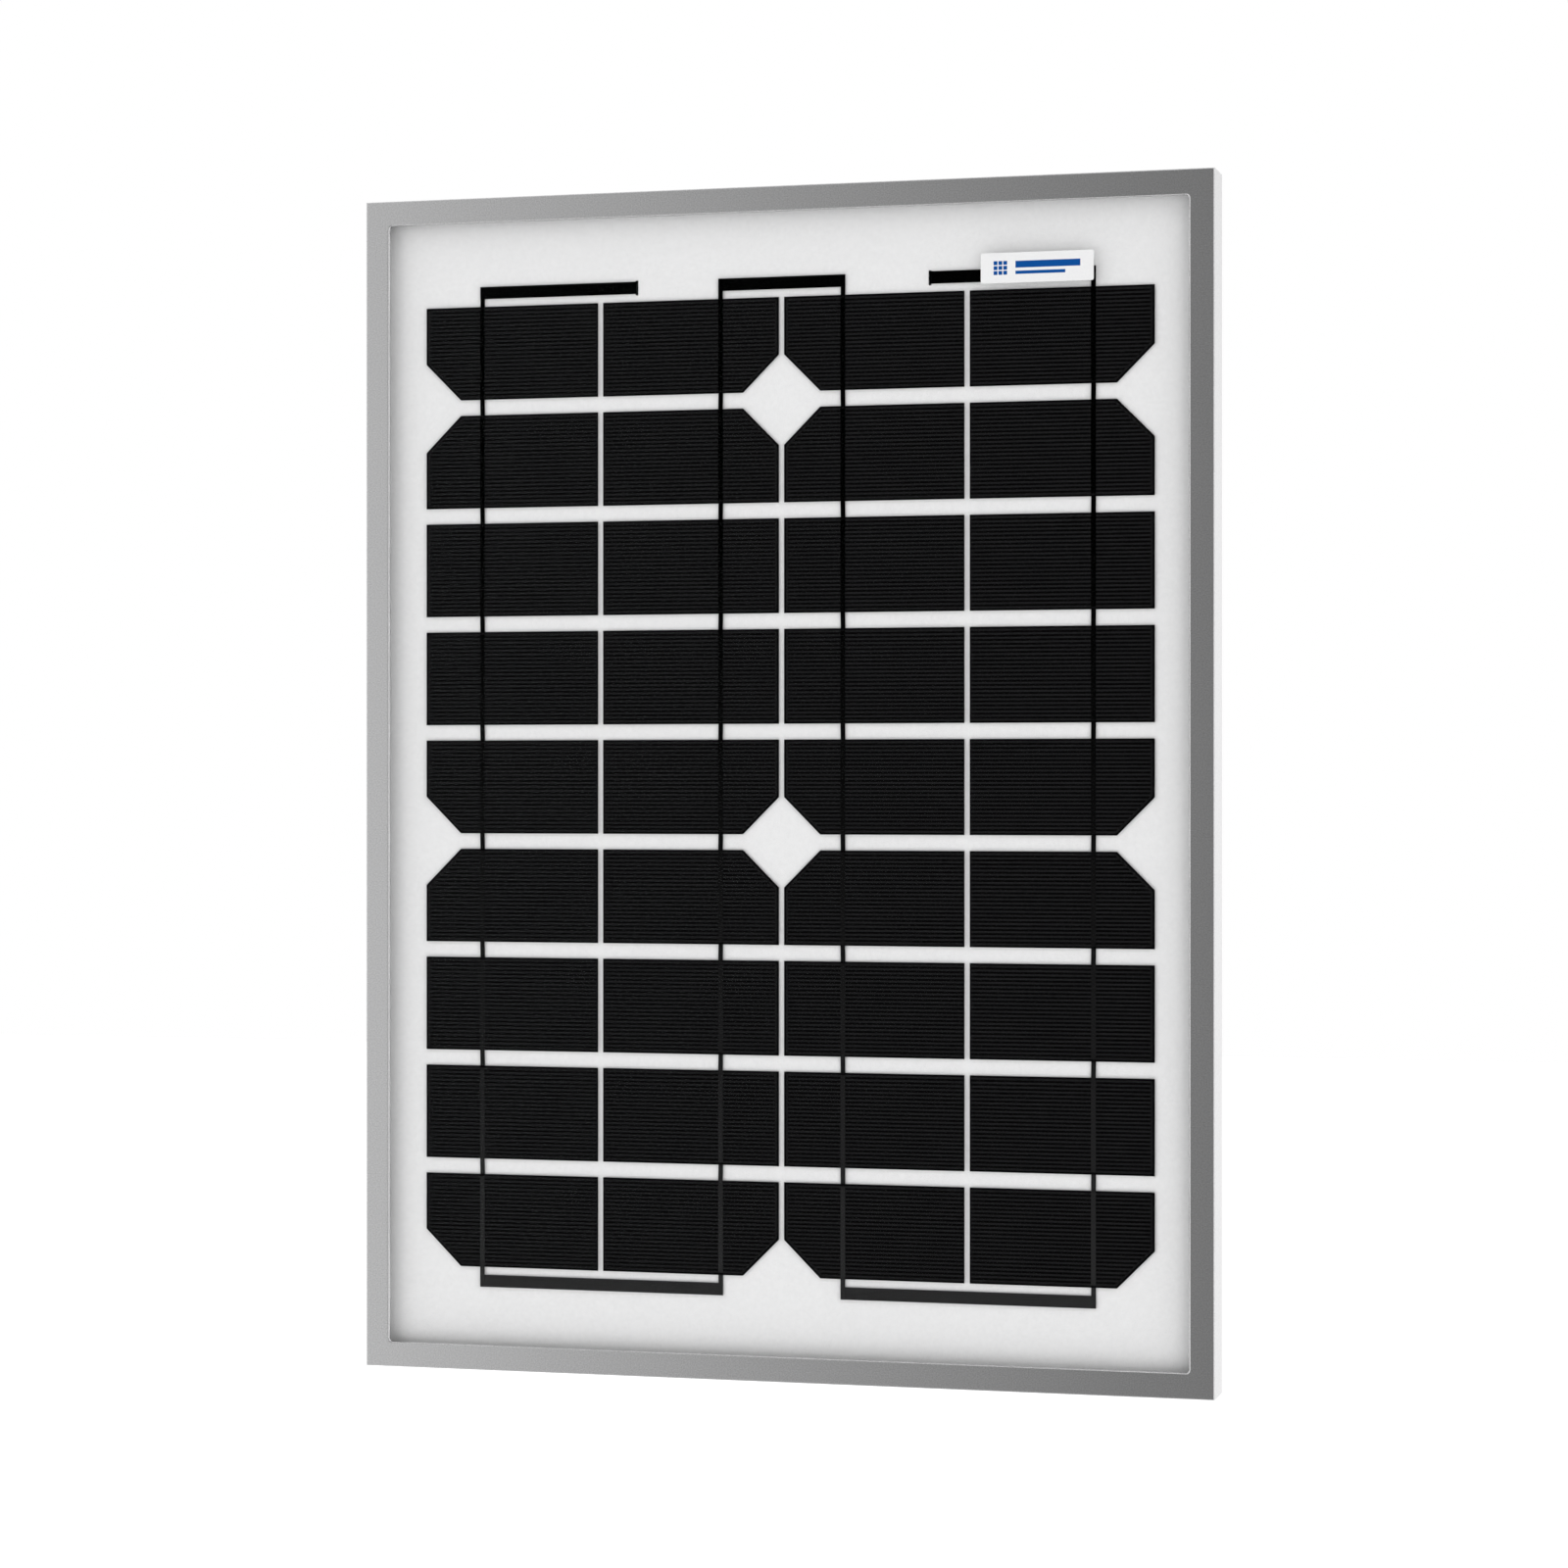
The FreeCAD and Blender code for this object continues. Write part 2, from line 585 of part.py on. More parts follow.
make_edge_seal()
make_sheet("glass", GLASS_FRONT, GLASS_BACK, False)
make_sheet("encapsulant_front", total(GLASS_BACK, "Dims.film_clearance"),
           total(RIBBON_FRONT, "-Dims.film_clearance"), False)
make_sheet("encapsulant_rear", total(RIBBON_BACK, "Dims.film_clearance"),
           total(SHEET_FRONT, "-Dims.film_clearance"), True)
make_sheet("backsheet", SHEET_FRONT, SHEET_BACK, True)


# ---------------------------------------------------------------- cells and conductors

def wafer_side(column):
    """Side of a column that was the wafer's outer edge: -1 left, 1 right."""
    return -1 if column % 2 == 0 else 1


def column_x(column):
    """Middle of a column of cells."""
    return f"({column - (COLUMNS - 1) / 2}*{COLUMN_PITCH})"


def ribbon_x(column):
    """Middle of a column's ribbon."""
    side = wafer_side(column)
    return f"({column_x(column)} + {side}*(Dims.cell_width/2 - Dims.ribbon_inset))"


def chamfer_end(row):
    """Which end of the row's cells has the wafer's cut-off corner: 1 top, -1 bottom, 0 none.

    A wafer gives four strips, so its bottom strip is every fourth row from the first,
    and its top strip is the row after that.
    """
    if row % 4 == 0:
        return -1
    if row % 4 == 1:
        return 1
    return 0


def cell_outline(column, row):
    """One cut cell, with its wafer's chamfer where it has one."""
    side = wafer_side(column)
    end = chamfer_end(row)
    middle = f"({ARRAY_Z} + {(ROWS - 1) / 2 - row}*{ROW_PITCH})"
    outer = f"({column_x(column)} + {side}*Dims.cell_width/2)"
    inner = f"({column_x(column)} - {side}*Dims.cell_width/2)"
    shy = f"({outer} - {side}*Dims.wafer_chamfer)"
    if end == 0:
        return rectangle(inner, outer, f"({middle} - Dims.cell_height/2)",
                         f"({middle} + Dims.cell_height/2)")
    cut = f"({middle} + {end}*Dims.cell_height/2)"
    plain = f"({middle} - {end}*Dims.cell_height/2)"
    chamfered = f"({cut} - {end}*Dims.wafer_chamfer)"
    return [(inner, plain), (outer, plain), (outer, chamfered), (shy, cut), (inner, cut)]


def make_string_cells(column):
    """The nine cells of one column."""
    body = new_body(f"string_{column + 1}_cells")
    outlines = [cell_outline(column, row) for row in range(ROWS)]
    slab(body, outlines, CELL_FRONT, CELL_BACK)


def make_string_ribbons(column):
    """Ribbons of one column: front of each cell to the back of the next, and two end tabs.

    Drawn for a string that runs downwards, about the middle of the cells; the other
    strings run upwards and are turned half round.
    """
    body = new_body(f"string_{column + 1}_ribbons")
    half = "(Dims.cell_height/2)"
    first = f"({(ROWS - 1) / 2}*{ROW_PITCH})"
    start = f"({first} + {half} - Dims.ribbon_end)"
    leave = f"({first} - {half} - Dims.ribbon_bend)"
    arrive = f"({first} - {ROW_PITCH} + {half} + Dims.ribbon_bend)"
    finish = f"({first} - {ROW_PITCH} + {half} - Dims.ribbon_lap)"
    link = [
        (RIBBON_FRONT, start),
        (CELL_FRONT, start),
        (CELL_FRONT, leave),
        (RIBBON_BACK, arrive),
        (RIBBON_BACK, finish),
        (CELL_BACK, finish),
        (CELL_BACK, arrive),
        (RIBBON_FRONT, leave),
    ]
    sketch = new_sketch(body, "YZ_Plane", "0")
    draw_outline(sketch, link)
    pad = add_feature(body, "Pad", sketch, "Dims.ribbon_width", symmetric=True)
    pattern = body.newObject("PartDesign::LinearPattern", body.Label + "_pattern")
    pattern.Originals = [pad]
    upright = next(item for item in body.Origin.OriginFeatures if item.Role == "Z_Axis")
    pattern.Direction = (upright, [""])
    pattern.Reversed = True
    pattern.Occurrences = ROWS - 1
    pattern.setExpression("Length", f"{ROWS - 2}*{ROW_PITCH}")
    body.Tip = pattern
    doc.recompute()

    bus_far = f"({ARRAY_HALF} + Dims.bus_gap + Dims.bus_width)"
    top_tab = rectangle(CELL_BACK, RIBBON_BACK, f"({ARRAY_HALF} - Dims.ribbon_lap)", bus_far)
    bar_along_x(body, top_tab, "0", "Dims.ribbon_width")
    last = f"(Dims.cell_height - {ARRAY_HALF} - Dims.ribbon_end)"
    bottom_tab = rectangle(RIBBON_FRONT, CELL_FRONT, f"-{bus_far}", last)
    bar_along_x(body, bottom_tab, "0", "Dims.ribbon_width")
    turn = 0 if column % 2 == 0 else 180
    place(body, ribbon_x(column), "0", ARRAY_Z, turn)


def make_bus_bar(label, left, right, end):
    """A collecting bar above (end 1) or below (end -1) the cells, between two places."""
    up = f"({ARRAY_Z} + {end}*{BUS_REACH})"
    width = f"({right} - {left})"
    flat_box(label, width, "Dims.bus_width", CELL_FRONT, CELL_BACK, f"(({left} + {right})/2)", up)


def make_lead_out(name, side):
    """Strip from a bus bar's free end, through the slit, bent over onto its terminal."""
    body = new_body("lead_out_" + name)
    bend = "Dims.bus_free_end"
    outer = f"({bend} + Dims.ribbon_thick)"
    foot = f"({bend} + Dims.lead_foot)"
    landing = f"({bend} - Dims.lead_landing)"
    points = [
        (foot, CELL_BACK),
        (foot, RIBBON_BACK),
        (outer, RIBBON_BACK),
        (outer, LANDING_BACK),
        (landing, LANDING_BACK),
        (landing, TERMINAL_BACK),
        (bend, TERMINAL_BACK),
        (bend, CELL_BACK),
    ]
    sketch = new_sketch(body, "XY_Plane", "0")
    draw_outline(sketch, [(f"{side}*{across}", depth) for across, depth in points])
    add_feature(body, "Pad", sketch, "Dims.bus_width", symmetric=True)
    place(body, "0", "0", TOP_BUS_Z)


for column in range(COLUMNS):
    make_string_cells(column)
    make_string_ribbons(column)

half_ribbon = "Dims.ribbon_width/2"
ribbon_left = [f"({ribbon_x(column)} - {half_ribbon})" for column in range(COLUMNS)]
ribbon_right = [f"({ribbon_x(column)} + {half_ribbon})" for column in range(COLUMNS)]
make_bus_bar("bus_bar_top_left", ribbon_left[0], "(-Dims.bus_free_end)", 1)
make_bus_bar("bus_bar_top_middle", ribbon_left[1], ribbon_right[2], 1)
make_bus_bar("bus_bar_top_right", "Dims.bus_free_end", ribbon_right[3], 1)
make_bus_bar("bus_bar_bottom_left", ribbon_left[0], ribbon_right[1], -1)
make_bus_bar("bus_bar_bottom_right", ribbon_left[2], ribbon_right[3], -1)
for name, side in SIDES.items():
    make_lead_out(name, side)


# ---------------------------------------------------------------- labels

flat_box("front_label", "Dims.front_label_width", "Dims.front_label_height",
         total(GLASS_FRONT, "-Dims.front_label_thick"), GLASS_FRONT,
         "(Dims.frame_width/2 - Dims.front_label_side - Dims.front_label_width/2)",
         "(Dims.frame_height/2 - Dims.front_label_top - Dims.front_label_height/2)")
flat_box("rating_label", "Dims.rating_label_width", "Dims.rating_label_height",
         SHEET_BACK, total(SHEET_BACK, "Dims.rating_label_thick"),
         "0", "(-Dims.rating_label_drop - Dims.rating_label_height/2)")


# ---------------------------------------------------------------- junction box

def upright_corner(box):
    """True for an edge that runs straight through the panel's depth."""
    return same(box.XMin, box.XMax) and same(box.ZMin, box.ZMax) and box.YLength > 0.1


def in_slot(body):
    """Slots in the floor for the two lead-outs."""
    reach = "(Dims.bus_width/2 + 2*Dims.slit_clearance)"
    slots = []
    for side in SIDES.values():
        middle = f"{side}*(Dims.bus_free_end + Dims.ribbon_thick/2)"
        slots.append(rectangle(f"({middle} - Dims.slit_width)", f"({middle} + Dims.slit_width)",
                               f"({BUS_IN_BOX} - {reach})", f"({BUS_IN_BOX} + {reach})"))
    sink(body, slots, total(BOX_FRONT, "-1"), total(FLOOR_BACK, "0.1"))


def terminal_outline(side, margin):
    """A terminal's outline in the box's frame, drawn in by a margin."""
    half = f"(Dims.terminal_width/2 - {margin})"
    middle = f"{side}*{TERMINAL_X}"
    low = f"({TERMINAL_LOW} + {margin})"
    high = f"({TERMINAL_TOP} - {margin})"
    return rectangle(f"({middle} - {half})", f"({middle} + {half})", low, high)


def make_box_base():
    """Tray with posts, two spouts and the outer knuckles of the hinge."""
    body = new_body("junction_box_base")
    slab(body, [centred(BOX_HALF_WIDTH, BOX_HALF_HEIGHT)], BOX_FRONT, RIM)
    round_edges(body, pick_edges(body, upright_corner), "Dims.box_corner")
    sink_open(body, centred(INSIDE_HALF_WIDTH, INSIDE_HALF_HEIGHT))
    in_slot(body)
    posts = [terminal_outline(side, "Dims.post_margin") for side in SIDES.values()]
    slab(body, posts, FLOOR_BACK, TERMINAL_FRONT)
    bore = "(Dims.screw_radius + Dims.screw_hole_gap)"
    shanks = [(f"{side}*{SCREW_X}", SCREW_Z, bore) for side in SIDES.values()]
    sink(body, [], total(FLOOR_BACK, "0.05"), total(TERMINAL_FRONT, "0.5"), circles=shanks)

    sketch = new_sketch(body, "XY_Plane", f"-({BOX_HALF_HEIGHT} + Dims.spout_length)")
    for side in SIDES.values():
        draw_circle(sketch, f"{side}*Dims.gland_side", GLAND_Y, SPOUT_RADIUS)
    add_feature(body, "Pad", sketch, "Dims.spout_length")
    before = body.Shape.Volume
    sketch = new_sketch(body, "XY_Plane", f"-({BOX_HALF_HEIGHT} + Dims.spout_length + 1)")
    for side in SIDES.values():
        draw_circle(sketch, f"{side}*Dims.gland_side", GLAND_Y, SPOUT_BORE)
    add_feature(body, "Pocket", sketch, "Dims.spout_length + Dims.box_wall + 1.5",
                backwards=True)
    check_removed(body, before)

    knuckle_inner = "(Dims.lid_knuckle_half + Dims.knuckle_gap)"
    length = f"(Dims.hinge_half - {knuckle_inner})"
    for side in SIDES.values():
        middle = f"{side}*(Dims.hinge_half + {knuckle_inner})/2"
        arm_low = f"({BOX_HALF_HEIGHT} - Dims.box_wall/2)"
        arm = rectangle(f"({HINGE_Y} - 2*Dims.knuckle_radius)", HINGE_Y, arm_low, HINGE_UP)
        arm[0] = (f"({HINGE_Y} - 3*Dims.knuckle_radius)", arm_low)
        arm[1] = (RIM, arm_low)
        arm[3] = (f"({HINGE_Y} - Dims.knuckle_radius*0.8)", HINGE_UP)
        bar_along_x(body, arm, middle, length)
        bar_along_x(body, [], middle, length, circles=[(HINGE_Y, HINGE_UP, "Dims.knuckle_radius")])
    bore_hinge(body)
    place(body, "0", "0", BOX_Z)


def sink_open(body, outline):
    """Pocket from the box's open back down to its floor."""
    before = body.Shape.Volume
    sketch = new_sketch(body, "XZ_Plane", f"-{FLOOR_BACK}")
    draw_outline(sketch, outline)
    add_feature(body, "Pocket", sketch, f"1 - {FLOOR_BACK}")
    check_removed(body, before)


def bore_hinge(body):
    """Bore for the hinge pin with its running clearance."""
    before = body.Shape.Volume
    sketch = new_sketch(body, "YZ_Plane", "0")
    draw_circle(sketch, HINGE_Y, HINGE_UP, "(Dims.pin_radius + Dims.pin_running_gap)")
    add_feature(body, "Pocket", sketch, "2*Dims.hinge_half + 2", symmetric=True)
    check_removed(body, before)


def make_adhesive():
    """Ring of adhesive under the box's floor."""
    body = new_body("junction_box_adhesive")
    outer = centred(BOX_HALF_WIDTH, BOX_HALF_HEIGHT)
    inner = centred(f"({BOX_HALF_WIDTH} - Dims.adhesive_width)",
                    f"({BOX_HALF_HEIGHT} - Dims.adhesive_width)")
    slab(body, [outer, inner], SHEET_BACK, BOX_FRONT)
    place(body, "0", "0", BOX_Z)


def sink_field(body):
    """Shallow field in the lid's face, with three grip ribs left standing above the latch."""
    half_width = f"({BOX_HALF_WIDTH} - Dims.lid_border)"
    half_height = f"({BOX_HALF_HEIGHT} - Dims.lid_border)"
    floor = total(LID_BACK, "-Dims.lid_field_depth")
    sink(body, [centred(half_width, half_height)], floor, total(LID_BACK, "1"))
    inside = number_of(half_width)
    names = pick_edges(body, lambda box: upright_corner(box)
                       and same(abs(box.XMin), inside) and box.YLength < 1)
    round_edges(body, names, "Dims.lid_field_corner")
    half = "(Dims.grip_rib_length/2)"
    ribs = []
    for step in range(3):
        low = f"(-{half_height} + {2 * step + 2}*Dims.grip_rib_width)"
        ribs.append(rectangle(f"-{half}", half, low, f"({low} + Dims.grip_rib_width)"))
    slab(body, ribs, floor, LID_BACK)


def make_lid():
    """Flat lid with a latch tongue and the middle knuckle of the hinge."""
    body = new_body("junction_box_lid")
    slab(body, [centred(BOX_HALF_WIDTH, BOX_HALF_HEIGHT)], LID_FRONT, LID_BACK)
    round_edges(body, pick_edges(body, upright_corner), "Dims.box_corner")
    back = number_of(LID_BACK)
    names = pick_edges(body, lambda box: same(box.YMin, back) and same(box.YMax, back))
    round_edges(body, names, "Dims.lid_edge_round")
    sink_field(body)
    tongue_top = f"-({BOX_HALF_HEIGHT} + Dims.latch_gap)"
    tongue_low = f"-({BOX_HALF_HEIGHT} + Dims.latch_gap + Dims.latch_thick)"
    root = f"-({BOX_HALF_HEIGHT} - Dims.box_wall)"
    half = "(Dims.latch_width/2)"
    slab(body, [rectangle(f"-{half}", half, tongue_low, root)], LID_FRONT, LID_BACK)
    slab(body, [rectangle(f"-{half}", half, tongue_low, tongue_top)],
         total(LID_FRONT, "-Dims.latch_reach"), LID_FRONT)
    width = "2*Dims.lid_knuckle_half"
    arm = rectangle(LID_FRONT, LID_BACK, f"({BOX_HALF_HEIGHT} - Dims.box_wall)", HINGE_UP)
    bar_along_x(body, arm, "0", width)
    bar_along_x(body, [], "0", width, circles=[(HINGE_Y, HINGE_UP, "Dims.knuckle_radius")])
    bore_hinge(body)
    place(body, "0", "0", BOX_Z)


def make_lid_seal():
    """Rubber ring under the lid, just inside the walls."""
    body = new_body("lid_seal")
    outer = centred(f"({INSIDE_HALF_WIDTH} - Dims.lid_seal_gap)",
                    f"({INSIDE_HALF_HEIGHT} - Dims.lid_seal_gap)")
    inset = "(Dims.lid_seal_gap + Dims.lid_seal_width)"
    inner = centred(f"({INSIDE_HALF_WIDTH} - {inset})", f"({INSIDE_HALF_HEIGHT} - {inset})")
    slab(body, [outer, inner], total(LID_FRONT, "-Dims.lid_seal_depth"), LID_FRONT)
    place(body, "0", "0", BOX_Z)


def make_hinge_pin():
    """Steel pin through the three knuckles."""
    pin = keep("hinge_pin", doc.addObject("Part::Cylinder", "hinge_pin"))
    pin.setExpression("Radius", "Dims.pin_radius")
    pin.setExpression("Height", "2*Dims.hinge_half")
    pin.Placement.Rotation = FreeCAD.Rotation(FreeCAD.Vector(0, 1, 0), 90)
    pin.setExpression("Placement.Base.x", "-Dims.hinge_half")
    pin.setExpression("Placement.Base.y", HINGE_Y)
    pin.setExpression("Placement.Base.z", total(BOX_Z, HINGE_UP))


def make_terminal(name, side):
    """Terminal plate with a hole for its screw."""
    body = new_body("terminal_" + name)
    hole = (f"{side}*{SCREW_X}", SCREW_Z, "(Dims.screw_radius + Dims.screw_hole_gap)")
    slab(body, [terminal_outline(side, "0")], TERMINAL_FRONT, TERMINAL_BACK, circles=[hole])
    place(body, "0", "0", BOX_Z)


def make_clamp_washers():
    """Square washer under each terminal screw."""
    body = new_body("clamp_washers")
    half = "(Dims.washer_side/2)"
    hole = "(Dims.screw_radius + Dims.screw_hole_gap)"
    outlines = []
    circles = []
    for side in SIDES.values():
        middle = f"{side}*{SCREW_X}"
        outlines.append(rectangle(f"({middle} - {half})", f"({middle} + {half})",
                                  f"({SCREW_Z} - {half})", f"({SCREW_Z} + {half})"))
        circles.append((middle, SCREW_Z, hole))
    slab(body, outlines, TERMINAL_BACK, WASHER_BACK, circles=circles)
    place(body, "0", "0", BOX_Z)


def make_terminal_screws():
    """Slotted pan-head screw through each terminal."""
    body = new_body("terminal_screws")
    spots = [(f"{side}*{SCREW_X}", SCREW_Z) for side in SIDES.values()]
    head_back = total(WASHER_BACK, "Dims.screw_head_height")
    tip = total(WASHER_BACK, "-Dims.screw_reach", "-Dims.terminal_thick")
    slab(body, [], tip, WASHER_BACK, circles=[(x, z, "Dims.screw_radius") for x, z in spots])
    slab(body, [], WASHER_BACK, head_back,
         circles=[(x, z, "Dims.screw_head_radius") for x, z in spots])
    rim = number_of(head_back)
    head = number_of("Dims.screw_head_radius")
    names = pick_edges(body, lambda box: same(box.YMin, rim) and same(box.YMax, rim)
                       and same(box.XLength, 2 * head))
    round_edges(body, names, "Dims.screw_head_height/3")
    slots = []
    for x, z in spots:
        half = "(Dims.screw_slot_width/2)"
        reach = "(Dims.screw_head_radius + 1)"
        slots.append(rectangle(f"({x} - {reach})", f"({x} + {reach})",
                               f"({z} - {half})", f"({z} + {half})"))
    sink(body, slots, total(head_back, "-Dims.screw_slot_depth"), total(head_back, "1"))
    place(body, "0", "0", BOX_Z)


def cylinder_along_x(label, radius, left, right, depth, up):
    """Round bar between two places on X."""
    bar = doc.addObject("Part::Cylinder", label)
    bar.setExpression("Radius", radius)
    bar.setExpression("Height", f"{right} - {left}")
    bar.Placement.Rotation = FreeCAD.Rotation(FreeCAD.Vector(0, 1, 0), 90)
    bar.setExpression("Placement.Base.x", left)
    bar.setExpression("Placement.Base.y", depth)
    bar.setExpression("Placement.Base.z", up)
    return bar


def make_diode():
    """Bypass diode between the terminals: a round body and two straight leads."""
    up = total(BOX_Z, TERMINAL_LOW, "Dims.diode_rise")
    half = "(Dims.diode_length/2)"
    core = cylinder_along_x("diode_core", "Dims.diode_radius", f"-{half}", half, DIODE_Y, up)
    fillet = keep("bypass_diode", doc.addObject("Part::Fillet", "bypass_diode"))
    fillet.Base = core
    doc.recompute()
    round_ends = [index for index, edge in enumerate(core.Shape.Edges, start=1)
                  if edge.BoundBox.XLength < 1e-4]
    size = number_of("Dims.diode_round")
    fillet.Edges = [(index, size, size) for index in round_ends]
    reach = TERMINAL_X
    left = cylinder_along_x("diode_lead_left", "Dims.diode_lead_radius", f"-{reach}",
                            f"-{half}", DIODE_Y, up)
    right = cylinder_along_x("diode_lead_right", "Dims.diode_lead_radius", half, reach,
                             DIODE_Y, up)
    leads = keep("diode_leads", doc.addObject("Part::Compound", "diode_leads"))
    leads.Links = [left, right]


def make_solder_joints():
    """A flat cone of solder on each lead-out, over its terminal."""
    cones = []
    for name, side in SIDES.items():
        cone = doc.addObject("Part::Cone", "solder_" + name)
        cone.setExpression("Radius1", "Dims.solder_foot")
        cone.setExpression("Radius2", "Dims.solder_top")
        cone.setExpression("Height", "Dims.solder_height")
        cone.Placement.Rotation = FreeCAD.Rotation(FreeCAD.Vector(1, 0, 0), -90)
        across = f"{side}*(Dims.bus_free_end - Dims.lead_landing + Dims.solder_foot + 0.3)"
        cone.setExpression("Placement.Base.x", across)
        cone.setExpression("Placement.Base.y", LANDING_BACK)
        cone.setExpression("Placement.Base.z", TOP_BUS_Z)
        cones.append(cone)
    joints = keep("solder_joints", doc.addObject("Part::Compound", "solder_joints"))
    joints.Links = cones


def make_gland_nut(name, side):
    """Hexagonal nut over the spout; its own origin is on the gland's axis at the box wall."""
    body = new_body("gland_nut_" + name)
    corner = "Dims.nut_corner"
    flat = "(Dims.nut_corner*sqrt(0.75))"
    points = [
        (corner, "0"), (f"{corner}/2", flat), (f"-{corner}/2", flat),
        (f"-{corner}", "0"), (f"-{corner}/2", f"-{flat}"), (f"{corner}/2", f"-{flat}"),
    ]
    low = "-(Dims.nut_stand_off + Dims.nut_length)"
    sketch = new_sketch(body, "XY_Plane", low)
    draw_outline(sketch, points)
    add_feature(body, "Pad", sketch, "Dims.nut_length")
    end = number_of(low)
    names = pick_edges(body, lambda box: same(box.ZMin, end) and same(box.ZMax, end))
    round_edges(body, names, "Dims.nut_edge_round")
    before = body.Shape.Volume
    sketch = new_sketch(body, "XY_Plane", "-(Dims.spout_length + Dims.nut_end_gap)")
    draw_circle(sketch, "0", "0", f"({SPOUT_RADIUS} + Dims.nut_thread_gap)")
    add_feature(body, "Pocket", sketch, "Dims.spout_length", backwards=True)
    check_removed(body, before)
    before = body.Shape.Volume
    sketch = new_sketch(body, "XY_Plane", f"{low} - 1")
    draw_circle(sketch, "0", "0", "Dims.nut_mouth")
    add_feature(body, "Pocket", sketch, "Dims.nut_length", backwards=True)
    check_removed(body, before)
    place(body, f"{side}*Dims.gland_side", GLAND_Y, f"({BOX_Z} - {BOX_HALF_HEIGHT})")


def make_grommet(name, side):
    """Rubber grommet that fills the spout's bore and grips the cable."""
    body = new_body("gland_grommet_" + name)
    sketch = new_sketch(body, "XY_Plane", "-Dims.spout_length")
    draw_circle(sketch, "0", "0", SPOUT_BORE)
    draw_circle(sketch, "0", "0", "Dims.grommet_bore")
    add_feature(body, "Pad", sketch, "Dims.grommet_length")
    place(body, f"{side}*Dims.gland_side", GLAND_Y, f"({BOX_Z} - {BOX_HALF_HEIGHT})")


make_box_base()
make_adhesive()
make_lid()
make_lid_seal()
make_hinge_pin()
make_clamp_washers()
make_terminal_screws()
make_diode()
make_solder_joints()
for name, side in SIDES.items():
    make_terminal(name, side)
    make_gland_nut(name, side)
    make_grommet(name, side)


# ---------------------------------------------------------------- check and write

doc.recompute()
for item in doc.Objects:
    if "Invalid" in item.State or "Error" in item.State:
        raise RuntimeError(item.Label + ": did not recompute")
for node in NODES:
    if node.Shape.isNull() or not node.Shape.isValid() or not node.Shape.Solids:
        raise RuntimeError(node.Label + ": no sound solid")

os.makedirs("parts", exist_ok=True)
for node in NODES:
    node.Shape.exportStep(f"parts/{node.Label}.step")
    print(f"{node.Label}: {len(node.Shape.Solids)} solids, {node.Shape.Volume:.1f} mm3")
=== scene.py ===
import math

import bmesh
import bpy
import numpy as np
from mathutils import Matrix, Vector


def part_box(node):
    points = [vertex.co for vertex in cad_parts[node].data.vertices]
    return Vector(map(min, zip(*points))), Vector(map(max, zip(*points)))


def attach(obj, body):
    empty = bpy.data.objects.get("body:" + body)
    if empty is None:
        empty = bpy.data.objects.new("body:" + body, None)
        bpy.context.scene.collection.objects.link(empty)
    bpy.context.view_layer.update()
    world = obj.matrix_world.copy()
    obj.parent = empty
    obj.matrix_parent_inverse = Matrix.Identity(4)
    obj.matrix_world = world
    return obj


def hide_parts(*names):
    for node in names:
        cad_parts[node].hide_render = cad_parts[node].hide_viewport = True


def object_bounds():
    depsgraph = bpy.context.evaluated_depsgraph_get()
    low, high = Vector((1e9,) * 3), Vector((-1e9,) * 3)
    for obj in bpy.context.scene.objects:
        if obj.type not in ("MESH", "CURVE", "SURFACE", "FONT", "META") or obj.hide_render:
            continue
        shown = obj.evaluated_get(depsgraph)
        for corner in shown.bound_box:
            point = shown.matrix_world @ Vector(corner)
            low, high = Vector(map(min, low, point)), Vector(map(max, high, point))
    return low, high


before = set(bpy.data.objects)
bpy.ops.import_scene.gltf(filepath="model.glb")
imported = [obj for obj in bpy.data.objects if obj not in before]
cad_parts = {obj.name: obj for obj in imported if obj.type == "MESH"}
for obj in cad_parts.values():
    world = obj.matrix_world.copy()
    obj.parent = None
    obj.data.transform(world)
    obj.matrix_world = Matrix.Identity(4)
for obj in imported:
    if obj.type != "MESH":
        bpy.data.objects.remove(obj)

# Looks of a small framed solar panel. Metres: X across, +Z up, the glass faces -Y.
cad_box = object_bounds()

MM = 0.001

# Cells: four columns of nine, each a slice of a wafer with its corners cut off.
COLUMNS = 4
ROWS = 9
CELL_HEIGHT = 38.18 * MM
WAFER_CHAMFER = 15.0 * MM

# Printed fingers, and the collector line that joins their ends.
FINGERS_PER_CELL = 23
FINGER_PITCH = 1.625 * MM
FINGER_WIDTH = 0.78 * MM
FINGER_THICK = 0.02 * MM
PRINT_INSET = 1.2 * MM
COLLECTOR_WIDTH = 0.7 * MM

# Width of the clear film that is left to see along the laminate's edge.
FILM_EDGE_WIDTH = 3.0 * MM

# Labels: ink on a thin film with a softened edge.
INK_THICK = 0.01 * MM
LABEL_EDGE_ROUND = 0.05 * MM

# Heights between which the ribbons' colour goes from grey, a painted reflection, to full black.
GREY_PAINTED_REFLECTION_END = -210 * MM
BLACK_END = 100 * MM


# ---------------------------------------------------------------- surfaces

